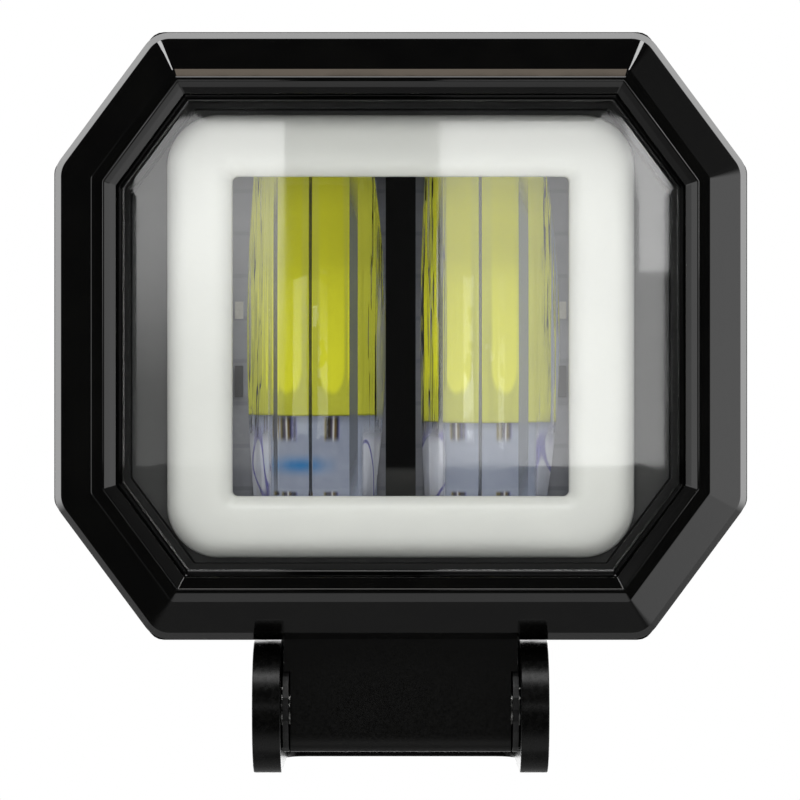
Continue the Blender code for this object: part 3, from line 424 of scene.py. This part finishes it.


# ---- Projector bars ----
# Two clear moulded bars, barrel-shaped, with a groove down the middle and a step on each side,
# the groove lined with painted shade and the steps banded with painted grey for the light their
# facets bend. They stand over the light strips, clamped by the lens holder, and throw the beam.

BAR_CROWN = 0.0105
BAR_REAR = 0.0210
BAR_HALF_LENGTH = 0.0235
BAR_BULGE = 0.0022

# Across each bar: (x from its middle, fall behind the crown, rounding), from right to left.
BAR_MIDDLES = {"left": -0.01215, "right": 0.01285}
BAR_FACETS = {
    "left": np.array([
        (0.01000, 0.0053, 0.00030), (0.00800, 0.0030, 0.00015), (0.00600, 0.0015, 0.00006),
        (0.00455, 0.0008, 0.00006), (0.00180, 0.00025, 0.0020), (-0.00045, 0.0001, 0.00005),
        (-0.00077, 0.0005, 0.00003), (-0.00109, 0.0001, 0.00005), (-0.00320, 0.00025, 0.0020),
        (-0.00527, 0.0008, 0.00006), (-0.00623, 0.0015, 0.00006), (-0.00835, 0.0030, 0.00015),
        (-0.01000, 0.0053, 0.00030),
    ]),
    "right": np.array([
        (0.01010, 0.0053, 0.00030), (0.00770, 0.0030, 0.00015), (0.00556, 0.0015, 0.00006),
        (0.00395, 0.0008, 0.00006), (0.00120, 0.00025, 0.0020), (-0.00115, 0.0001, 0.00005),
        (-0.00145, 0.0005, 0.00003), (-0.00175, 0.0001, 0.00005), (-0.00400, 0.00025, 0.0020),
        (-0.00638, 0.0008, 0.00006), (-0.00750, 0.0015, 0.00006), (-0.00900, 0.0030, 0.00015),
        (-0.01000, 0.0053, 0.00030),
    ]),
}
# Grey bands painted on each bar, painted shade along the groove and painted grey for the light the side
# steps bend: (from x, to x, how light)
BAR_PAINTED_BANDS = {
    "left": ((-0.00100, -0.00055, 0.03), (-0.00610, -0.00550, 0.06), (0.00480, 0.00600, 0.10)),
    "right": ((-0.00168, -0.00122, 0.12), (-0.00740, -0.00680, 0.05), (0.00405, 0.00546, 0.15)),
}
WAIST = (0.25, 0.42)  # share of each flank's width lost at the bar's ends: left flank, right flank
FLANK_START = 0.0066  # from the bar's middle
FOOT_TOP = 0.0425
FULL_FALL = 0.0078  # fall at which the crown's bulge has died away


def within(material, value, middle, half, soft):
    """1 where value is less than half away from middle, fading to 0 over soft."""
    away = maths(material, "ABSOLUTE", maths(material, "SUBTRACT", value, middle))
    return between(material, away, half - soft, half + soft, 1.0, 0.0)


def bar_glass(side):
    """Clear acrylic, with painted shade as a dark line along the groove and painted grey bands on the two
    side steps for the light their facets bend.

    The flanks carry fine upright ripples in relief, with pale painted highlights along some of them, a
    milky painted highlight at the foot and violet rings painted for the colours the bar splits light
    into. A ray that only asks whether a lamp is hidden goes straight through, so the strips behind are lit.
    """
    material = bpy.data.materials.new(f"bar_clear_{side}")
    material.use_nodes = True
    nodes, links = material.node_tree.nodes, material.node_tree.links
    glass = nodes["Principled BSDF"]
    glass.inputs["Roughness"].default_value = 0.0
    glass.inputs["IOR"].default_value = 1.49
    glass.inputs["Transmission Weight"].default_value = 1.0
    place = add(material, "ShaderNodeTexCoord").outputs["Object"]
    flow = add(material, "ShaderNodeTexNoise", Vector=place, Scale=160.0, Detail=2.0).outputs["Fac"]
    colour = ramp(material, flow, (0.3, (0.95, 0.955, 0.96)), (0.7, (0.98, 0.985, 0.985)))
    spot = add(material, "ShaderNodeSeparateXYZ", Vector=place)
    front = between(material, spot.outputs["Y"], -0.0300, -0.0285, 1.0, 0.0)
    painted_share = 0.0
    grey = ramp(material, flow, (0.3, 0.05), (0.7, 0.06))
    # Painted shade: the groove's band is a dark painted line, and the side steps' bands are painted grey in
    # place of the light their facets bend.
    for start, end, tint in BAR_PAINTED_BANDS[side]:
        middle, half = BAR_MIDDLES[side] + (start + end) / 2, (end - start) / 2
        band = maths(material, "MULTIPLY", within(material, spot.outputs["X"], middle, half, 0.00004), front)
        grey = mixed(material, band, grey, (tint * 0.90, tint * 0.98, tint * 1.15))
        painted_share = maths(material, "MAXIMUM", painted_share, band)
    links.new(colour, glass.inputs["Base Color"])
    away = maths(material, "ABSOLUTE", maths(material, "SUBTRACT", spot.outputs["X"], BAR_MIDDLES[side]))
    drawn = add(material, "ShaderNodeMapping", Vector=place, Scale=(1100.0, 120.0, 30.0)).outputs[0]
    streak = add(material, "ShaderNodeTexNoise", Vector=drawn, Scale=1.0, Detail=2.0).outputs["Fac"]
    # Painted highlights: pale streaks along the flanks' ripples and a milky painted highlight over the foot.
    flank = between(material, away, FLANK_START - 0.0004, FLANK_START + 0.0004)
    foot = between(material, spot.outputs["Z"], FOOT_TOP - 0.0055, FOOT_TOP, 0.75, 0.0)
    foot = maths(material, "MULTIPLY", flank, foot)
    gleam = maths(material, "MULTIPLY", flank, between(material, streak, 0.56, 0.62, 0.0, 0.55))
    gleam = maths(material, "MAXIMUM", gleam, foot)
    grey = mixed(material, gleam, grey, (0.80, 0.81, 0.90))
    # Painted violet rings at the foot, for the colours the bar splits light into.
    swirl = add(material, "ShaderNodeMapping", Vector=place, Scale=(330.0, 60.0, 110.0)).outputs[0]
    swirl = add(material, "ShaderNodeTexNoise", Vector=swirl, Scale=1.0, Detail=0.0).outputs["Fac"]
    ring = maths(material, "MULTIPLY", foot, within(material, swirl, 0.50, 0.018, 0.012))
    grey = mixed(material, maths(material, "MULTIPLY", ring, 1.5), grey, (0.10, 0.08, 0.34))
    painted_share = maths(material, "MAXIMUM", painted_share, gleam)
    streak = maths(material, "MULTIPLY", streak, flank)
    height = maths(material, "ADD", maths(material, "MULTIPLY", flow, 0.04), streak)
    bump = add(material, "ShaderNodeBump", Height=height, Distance=0.0007)
    links.new(bump.outputs["Normal"], glass.inputs["Normal"])
    shadow = add(material, "ShaderNodeBsdfTransparent", Color=(0.95, 0.95, 0.95, 1.0)).outputs[0]
    asked = add(material, "ShaderNodeLightPath").outputs["Is Shadow Ray"]
    # The painted shade, grey and highlights are laid on as a flat diffuse coat over the glass.
    painted_surface = add(material, "ShaderNodeBsdfDiffuse", Color=grey).outputs[0]
    painted_amount = maths(material, "MULTIPLY", painted_share, 0.88)
    body = add(material, "ShaderNodeMixShader", _0=painted_amount, _1=glass.outputs[0], _2=painted_surface)
    both = add(material, "ShaderNodeMixShader", _0=asked, _1=body.outputs[0], _2=shadow)
    links.new(both.outputs[0], nodes["Material Output"].inputs["Surface"])
    return material


def projector_bar(side):
    """A bar swept upwards, its outline a barrel from the front and from the side.

    With s the height's share from -1 to 1, x beyond the flank's start shrinks by waist * s**2 and the
    crown falls by BAR_BULGE * s**2 * (1 - fall / FULL_FALL).
    """
    facets = BAR_FACETS[side]
    back = BAR_REAR - BAR_CROWN
    section = np.concatenate([facets, [(facets[-1, 0], back, 0.0002), (facets[0, 0], back, 0.0002)]])
    line = rounded(section[:, :2], section[:, 2], 3)
    share = np.linspace(-1.0, 1.0, 49)[:, None]
    x, fall = line[None, :, 0], line[None, :, 1]
    flank = np.where(x < 0, x - facets[10, 0], x - facets[2, 0])
    outside = np.where(x < 0, np.minimum(flank, 0.0), np.maximum(flank, 0.0))
    waist = np.where(x < 0, WAIST[0], WAIST[1])
    across = x - outside * waist * share**2
    depth = BAR_CROWN + fall + BAR_BULGE * share**2 * np.clip(1 - fall / FULL_FALL, 0.0, 1.0)
    points = np.stack([
        BAR_MIDDLES[side] + across,
        LAMP_FRONT + depth,
        LAMP_MIDDLE + BAR_HALF_LENGTH * share + 0 * across,
    ], axis=-1)
    grids = [(points, False, True), closed(points[0], 5), closed(points[-1], 5)]
    piece = surface(f"projector_bar_{side}", grids, bar_glass(side), "lamp")
    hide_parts(f"lens_bar_{side}")


projector_bar("left")
projector_bar("right")


# ---- Light strips ----
# Each strip is a pale ceramic carrier with a yellow phosphor layer cast over its row of chips.
# Below the layer the carrier shows its solder lands.

PHOSPHOR_SPAN = {"left": (-0.0111, 0.0230), "right": (-0.0121, 0.0230)}
PHOSPHOR_FRONT = 0.0213
PHOSPHOR_HALF = 0.0078
ZONE_PLACES = {"left": (-0.0157, -0.0104), "right": (0.0088, 0.0146)}
ZONE_HALF = 0.0017
ZONE_END = 0.0449
ZONE_ROUND = 0.004  # height of a zone's rounded lower end
LAYER_SHIFT = -0.0004  # of the layers from the bars' middles
LAYER_CORNER = 0.0006
LAYER_ROUND = 0.0003


def phosphor(side):
    """Flat cushion of silicone: a rounded rectangle that rises over its edge by a quarter round.

    At turn t the edge stands LAYER_ROUND * (1 - cos t) inside the outline and LAYER_ROUND * (1 - sin t)
    behind the layer's face. The zones over the chips are upright bands with a half-ellipse at the foot.
    """
    low, high = PHOSPHOR_SPAN[side]
    material, shader, place, _ = finish(
        f"phosphor_{side}", ((0.55, 0.55, 0.040), (0.59, 0.59, 0.055)), (0.45, 0.6), 1500.0, 0.00001,
        Specular_IOR_Level=0.2
    )
    spot = add(material, "ShaderNodeSeparateXYZ", Vector=place)
    glow = 0.0
    for middle in ZONE_PLACES[side]:
        u = maths(material, "DIVIDE", maths(material, "SUBTRACT", spot.outputs["X"], middle), ZONE_HALF)
        v = maths(material, "SUBTRACT", ZONE_END + ZONE_ROUND, spot.outputs["Z"])
        v = maths(material, "DIVIDE", v, ZONE_ROUND)
        v = maths(material, "MAXIMUM", v, 0.0)
        squares = maths(material, "ADD", maths(material, "POWER", u, 2.0), maths(material, "POWER", v, 2.0))
        reach = maths(material, "SQRT", squares)
        glow = maths(material, "MAXIMUM", glow, between(material, reach, 0.8, 1.1, 1.0, 0.0))
    drawn = add(material, "ShaderNodeMapping", Vector=place, Scale=(900.0, 900.0, 40.0)).outputs[0]
    streak = add(material, "ShaderNodeTexNoise", Vector=drawn, Scale=1.0, Detail=3.0).outputs["Fac"]
    base = shader.inputs["Base Color"].links[0].from_socket
    base = mixed(material, between(material, streak, 0.45, 0.65, 0.0, 0.5), base, (0.47, 0.47, 0.035))
    # Painted light: the layer is painted brighter towards its top, where the bezel and the bars shade it
    # from the overhead light.
    upper = between(material, spot.outputs["Z"], 0.048, 0.072, 0.0, 0.9)
    base = mixed(material, upper, base, (0.86, 0.85, 0.08))
    base = mixed(material, maths(material, "MULTIPLY", glow, 0.9), base, (0.88, 0.86, 0.03))
    material.node_tree.links.new(base, shader.inputs["Base Color"])
    turn = np.linspace(0.0, np.pi / 2, 6)
    inset = np.concatenate([[0.0], LAYER_ROUND * (1 - np.cos(turn))])
    depth = np.concatenate([[LAYER_ROUND + 0.0001], LAYER_ROUND * (1 - np.sin(turn))])
    loops = rectangle(PHOSPHOR_HALF - inset, (high - low) / 2 - inset, LAYER_CORNER - inset / 2, 6)
    loops = loops + np.array([BAR_MIDDLES[side] + LAYER_SHIFT, (high + low) / 2])
    rim = at_depth(loops, PHOSPHOR_FRONT + depth)
    grids = [(rim, False, True), closed(rim[0], 4), closed(rim[-1], 4)]
    piece = surface(f"phosphor_layer_{side}", grids, material, "lamp")
    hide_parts(f"phosphor_{side}")


phosphor("left")
phosphor("right")


LAND_WIDTH = 0.0024
UPPER_LAND = (0.0402, 0.0017, 0.0006)  # height, half height, softness of its ends
LOWER_LAND = (0.0303, 0.0008, 0.0003)


def carrier(side):
    """The carrier's finish: pale lavender ceramic with dark solder lands, across which yellow, white and
    violet fringes are painted for the colours the bars split light into.
    """
    material, shader, place, _ = finish(
        f"carrier_{side}", ((0.30, 0.33, 0.43), (0.35, 0.38, 0.48)), (0.3, 0.45), 700.0, 0.000005
    )
    spot = add(material, "ShaderNodeSeparateXYZ", Vector=place)
    colour = shader.inputs["Base Color"].links[0].from_socket
    for middle in ZONE_PLACES[side]:
        across = maths(material, "SUBTRACT", spot.outputs["X"], middle)
        across = maths(material, "ADD", maths(material, "DIVIDE", across, LAND_WIDTH), 0.5)
        # The lands are dark; the yellow, white and violet fringes across them are painted light, split by
        # the bars.
        fringe = ramp(material, across, (0.10, (0.30, 0.22, 0.01)), (0.28, (0.006, 0.004, 0.004)),
                      (0.42, (0.10, 0.08, 0.14)), (0.50, (0.75, 0.75, 0.75)), (0.58, (0.16, 0.10, 0.01)),
                      (0.74, (0.006, 0.006, 0.03)), (0.92, (0.20, 0.20, 0.50)))
        upper = within(material, spot.outputs["Z"], *UPPER_LAND)
        lower = within(material, spot.outputs["Z"], *LOWER_LAND)
        amount = maths(material, "MULTIPLY", maths(material, "MAXIMUM", upper, lower),
                       within(material, spot.outputs["X"], middle, 0.0009, 0.0002))
        colour = mixed(material, amount, colour, fringe)
    if side == "left":  # a painted blue patch below the left layer, for light the bar splits into colours
        painted_blue_patch = maths(material, "MULTIPLY", within(material, spot.outputs["Z"], 0.0349, 0.0009, 0.0011),
                      within(material, spot.outputs["X"], -0.0143, 0.0026, 0.0026))
        colour = mixed(material, painted_blue_patch, colour, (0.015, 0.20, 0.50))
    material.node_tree.links.new(colour, shader.inputs["Base Color"])
    coat(f"cob_base_{side}", material)


carrier("left")
carrier("right")


# ---- Lens holder ----
# Black moulded frame that clamps both bars to the board. Its tall rib stands between them, with a
# painted reflection that makes it a little greyer towards the foot.

holder_black, holder_shader, holder_place, _ = finish(
    "holder_black", ((0.0003, 0.0003, 0.0003), (0.0007, 0.0007, 0.0007)), (0.30, 0.42), 900.0, 0.000004,
    Specular_IOR_Level=0.1
)
holder_spot = add(holder_black, "ShaderNodeSeparateXYZ", Vector=holder_place)
# Painted reflection: the rib is painted greyer towards its foot.
holder_painted_reflection = between(holder_black, holder_spot.outputs["Z"], 0.0335, 0.0345, 0.9, 0.0)
holder_tone = holder_shader.inputs["Base Color"].links[0].from_socket
holder_tone = mixed(holder_black, holder_painted_reflection, holder_tone, (0.03, 0.03, 0.029))
holder_black.node_tree.links.new(holder_tone, holder_shader.inputs["Base Color"])
coat("lens_holder", holder_black)


# ---- Board and driver ----
# Metal-core board with a pale solder mask over copper tracks, its driver parts soldered along
# the top edge and a diode and a resistor in view beside each bar.

board_mask, board_shader, board_place, _ = finish(
    "board_mask", ((0.27, 0.275, 0.31), (0.32, 0.325, 0.36)), (0.35, 0.5), 800.0, 0.000006
)
board_spot = add(board_mask, "ShaderNodeSeparateXYZ", Vector=board_place)
TRACK_PITCH = 0.0031
board_track = maths(board_mask, "PINGPONG", board_spot.outputs["Z"], TRACK_PITCH)
board_gap = between(board_mask, board_track, 0.0002, 0.0004, 0.35, 0.0)
board_colour = board_shader.inputs["Base Color"].links[0].from_socket
board_colour = mixed(board_mask, board_gap, board_colour, (0.14, 0.145, 0.17))
board_mask.node_tree.links.new(board_colour, board_shader.inputs["Base Color"])
coat("led_board", board_mask)

part_dark, *_ = finish(
    "part_dark", ((0.030, 0.031, 0.034), (0.05, 0.051, 0.055)), (0.35, 0.5), 1500.0, 0.00001
)
part_pale, *_ = finish(
    "part_pale", ((0.52, 0.50, 0.45), (0.62, 0.60, 0.55)), (0.35, 0.5), 1500.0, 0.00001
)
copper_wire, *_ = finish(
    "copper_wire", ((0.42, 0.16, 0.07), (0.60, 0.26, 0.12)), (0.25, 0.4), 2500.0, 0.00003, Metallic=1.0
)
for dark_part in ("driver_chip", "capacitor", "diode_left", "diode_right"):
    coat(dark_part, part_dark)
for pale_part in ("lead_connector", "resistor_left", "resistor_right"):
    coat(pale_part, part_pale)
coat("inductor", copper_wire)


# ---- Thermal pad ----
# Soft grey silicone sheet, cut square, that the board's screws go through and press between
# the board and the housing. It carries the heat across.

pad_grey, *_ = finish("pad_grey", ((0.20, 0.20, 0.21), (0.26, 0.26, 0.27)), (0.75, 0.9), 1200.0, 0.00003)
coat("thermal_pad", pad_grey)


# ---- Rear housing ----
# Die-cast aluminium tub with cooling fins and the lug that hangs in the bracket, all painted
# black over the cast skin. The edges are slightly rounded, as cast.

cast_black, *_ = finish(
    "cast_black", ((0.0020, 0.0020, 0.0018), (0.0040, 0.0040, 0.0037)), (0.34, 0.50), 2400.0, 0.00002,
    Specular_IOR_Level=0.2
)


def softened(node, name, width, material, body):
    """A CAD piece with its edges broken: its triangles joined, flat ones merged, sharp edges rounded."""
    sharp = math.radians(32)
    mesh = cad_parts[node].data.copy()
    mesh.name = name
    work = bmesh.new()
    work.from_mesh(mesh)
    bmesh.ops.remove_doubles(work, verts=work.verts, dist=2e-6)
    bmesh.ops.dissolve_limit(work, angle_limit=math.radians(0.6), verts=work.verts, edges=work.edges)
    work.to_mesh(mesh)
    work.free()
    mesh.shade_smooth()
    mesh.set_sharp_from_angle(angle=sharp)
    mesh.materials.clear()
    mesh.materials.append(material)
    piece = bpy.data.objects.new(name, mesh)
    bpy.context.scene.collection.objects.link(piece)
    bevel = piece.modifiers.new("edges", "BEVEL")
    bevel.width = width
    bevel.segments = 3
    bevel.limit_method = "ANGLE"
    bevel.angle_limit = sharp
    bevel.harden_normals = True
    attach(piece, body)
    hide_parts(node)


softened("rear_housing", "housing_casting", 0.00035, cast_black, "lamp")


# ---- Cable gland and vent plug ----
# Black rubber gland through the housing's back wall, tapering to the lead's size, and a
# push-in breather that lets air in and out as the lamp warms and cools.

gland_black, *_ = finish(
    "gland_black", ((0.014, 0.014, 0.014), (0.024, 0.024, 0.024)), (0.4, 0.55), 1500.0, 0.00002
)
softened("cable_gland", "gland", 0.0002, gland_black, "lamp")
softened("vent_plug", "breather", 0.0002, gland_black, "lamp")


# ---- Screws ----
# Stainless pan-head screws. Four go through the housing's flange from behind into the bezel,
# and four from the front hold the lens holder, the board and the pad to the housing.

screw_steel, *_ = finish(
    "screw_steel", ((0.42, 0.42, 0.41), (0.56, 0.56, 0.54)), (0.22, 0.36), 1800.0, 0.000008, Metallic=1.0
)
for number in range(1, 5):
    softened(f"bezel_screw_{number}", f"bezel_bolt_{number}", 0.00015, screw_steel, "lamp")
    coat(f"board_screw_{number}", screw_steel)


# ---- Mounting bracket ----
# Four-millimetre steel plate bent to a U, its two ears rounded off, powder-coated satin black.
# It bolts to the vehicle through its base and clamps the lamp's lug between the ears.

plate_black, *_ = finish(
    "plate_black", ((0.0012, 0.0012, 0.0011), (0.0026, 0.0026, 0.0024)), (0.22, 0.30), 1300.0, 0.000005,
    Specular_IOR_Level=0.2
)
softened("mounting_bracket", "bracket_plate", 0.0006, plate_black, "bracket")


# ---- Pivot screws and washers ----
# Stainless countersunk M6 screws, flush with the ears, on which the lamp turns, and black nylon
# washers between the ears and the lug that give the tilt its drag.

softened("pivot_screw_left", "pivot_bolt_left", 0.0002, screw_steel, "bracket")
softened("pivot_screw_right", "pivot_bolt_right", 0.0002, screw_steel, "bracket")
nylon, *_ = finish("nylon", ((0.004, 0.004, 0.004), (0.008, 0.008, 0.008)), (0.4, 0.55), 900.0, 0.00001)
coat("friction_washer_left", nylon)
coat("friction_washer_right", nylon)


# ---- Floor and studio light ----
# White surround, a pale floor well below the bracket, a softbox over the front and a fill in
# front of it, panels beside the camera that the lens sends back, two strips above for the
# bezel's corners, a warm ceiling light, and walls that only the bezel's slopes send back.

FLOOR_HEIGHT = -0.16
FLOOR_RADIUS = 1.25
FLOOR_RINGS, FLOOR_SPOKES = 12, 96
floor_pale, *_ = finish("floor_pale", ((0.80, 0.80, 0.79), (0.84, 0.84, 0.83)), (0.6, 0.8), 12.0)
spread = np.linspace(0.0, FLOOR_RADIUS, FLOOR_RINGS)[:, None]
bearing = np.linspace(0.0, 2 * np.pi, FLOOR_SPOKES, endpoint=False)[None, :]
floor_points = np.stack(
    [spread * np.cos(bearing), spread * np.sin(bearing), FLOOR_HEIGHT + 0 * spread * bearing], axis=-1
)
floor_mesh = bpy.data.meshes.new("floor")
floor_faces = sheet_faces(FLOOR_RINGS, FLOOR_SPOKES, False, True)[:, ::-1]
floor_mesh.from_pydata(floor_points.reshape(-1, 3), [], floor_faces.tolist())
floor_mesh.materials.append(floor_pale)
floor = bpy.data.objects.new("floor", floor_mesh)
floor.visible_glossy = False
bpy.context.scene.collection.objects.link(floor)


def softbox(name, place, aim, width, height, brightness, colour=(1.0, 1.0, 1.0)):
    """A flat soft light facing a point, of a given brightness: power = brightness * pi * area."""
    lamp = bpy.data.lights.new(name, "AREA")
    lamp.shape = "RECTANGLE"
    lamp.size = width
    lamp.size_y = height
    lamp.energy = brightness * math.pi * width * height
    lamp.color = colour
    holder = bpy.data.objects.new(name, lamp)
    away = np.array(aim) - np.array(place)
    away = away / np.linalg.norm(away)
    holder.location = place
    holder.rotation_euler = (math.acos(-away[2]), 0.0, math.atan2(away[1], away[0]) - math.pi / 2)
    bpy.context.scene.collection.objects.link(holder)
    return holder


softbox("overhead", (0.0, -0.85, 1.25), (0.0, 0.0, 0.05), 1.3, 0.45, 5.4)
card_left = softbox("card_left", (-0.1055, -1.60, 0.1045), (-0.1055, 0.0, 0.1045), 0.089, 0.191, 2.9)
softbox("card_right", (0.0855, -1.60, 0.1045), (0.0855, 0.0, 0.1045), 0.129, 0.191, 2.75)
softbox("card_corner", (0.138, -1.55, 0.155), (0.138, 0.0, 0.155), 0.024, 0.090, 3.0)
softbox("ceiling", (0.0, -0.36, 1.19), (0.0, 0.0, 0.09), 0.28, 0.11, 2.8, (1.0, 0.84, 0.68))
softbox("strip_left", (-0.54, -0.08, 1.12), (0.0, -0.04, 0.09), 0.74, 0.16, 10.0)
softbox("strip_right", (0.54, -0.08, 1.12), (0.0, -0.04, 0.09), 0.74, 0.16, 10.0)
fill = softbox("fill", (0.0, -1.5, 0.25), (0.0, 0.0, 0.05), 1.0, 1.0, 2.55)
fill.visible_glossy = False
fill.visible_transmission = False
card_left.data.use_nodes = True
card_glow = card_left.data.node_tree.nodes["Emission"]
card_place = add(card_left.data, "ShaderNodeNewGeometry").outputs["Parametric"]
card_up = add(card_left.data, "ShaderNodeSeparateXYZ", Vector=card_place).outputs["Y"]
card_fade = between(card_left.data, card_up, 0.15, 0.7, 0.2, 1.0)  # the left panel dims downwards
card_left.data.node_tree.links.new(card_fade, card_glow.inputs["Strength"])

studio = bpy.data.worlds.new("studio")
studio.use_nodes = True
bpy.context.scene.world = studio
air = studio.node_tree.nodes["Background"]
toward = add(studio, "ShaderNodeTexCoord").outputs["Generated"]
heading = add(studio, "ShaderNodeSeparateXYZ", Vector=toward)
ahead = heading.outputs["Y"]
behind = maths(
    studio, "MULTIPLY",
    between(studio, ahead, 0.12, 0.4, 0.0, 2.4),
    between(studio, heading.outputs["Z"], -0.5, -0.1, 0.1, 1.0),
)
right_wall = maths(
    studio, "MULTIPLY",
    between(studio, heading.outputs["X"], 0.6, 0.9, 0.0, 1.55),
    between(studio, ahead, -0.27, -0.17, 0.0, 1.0),
)
right_top = between(studio, heading.outputs["Z"], 0.1, 0.4, 1.0, 0.1)
right_wall = maths(studio, "MULTIPLY", right_wall, right_top)
left_wall = maths(
    studio, "MULTIPLY",
    between(studio, heading.outputs["X"], -0.95, -0.75, 1.5, 0.0),
    within(studio, ahead, -0.18, 0.09, 0.025),
)
below = maths(
    studio, "MULTIPLY",
    between(studio, heading.outputs["Z"], -0.9, -0.6, 1.0, 0.0),
    between(studio, ahead, -0.20, -0.12, 0.75, 0.17),
)
walls = maths(studio, "MAXIMUM", behind, left_wall)
walls = maths(studio, "MAXIMUM", walls, maths(studio, "MAXIMUM", right_wall, below))
seen = add(studio, "ShaderNodeLightPath").outputs["Is Camera Ray"]
unseen = maths(studio, "SUBTRACT", 1.0, seen)
level = maths(studio, "MULTIPLY", maths(studio, "ADD", walls, 0.03), unseen)
level = maths(studio, "ADD", level, seen)
tone = add(studio, "ShaderNodeCombineColor", Red=level, Green=level, Blue=level)
studio.node_tree.links.new(tone.outputs[0], air.inputs["Color"])
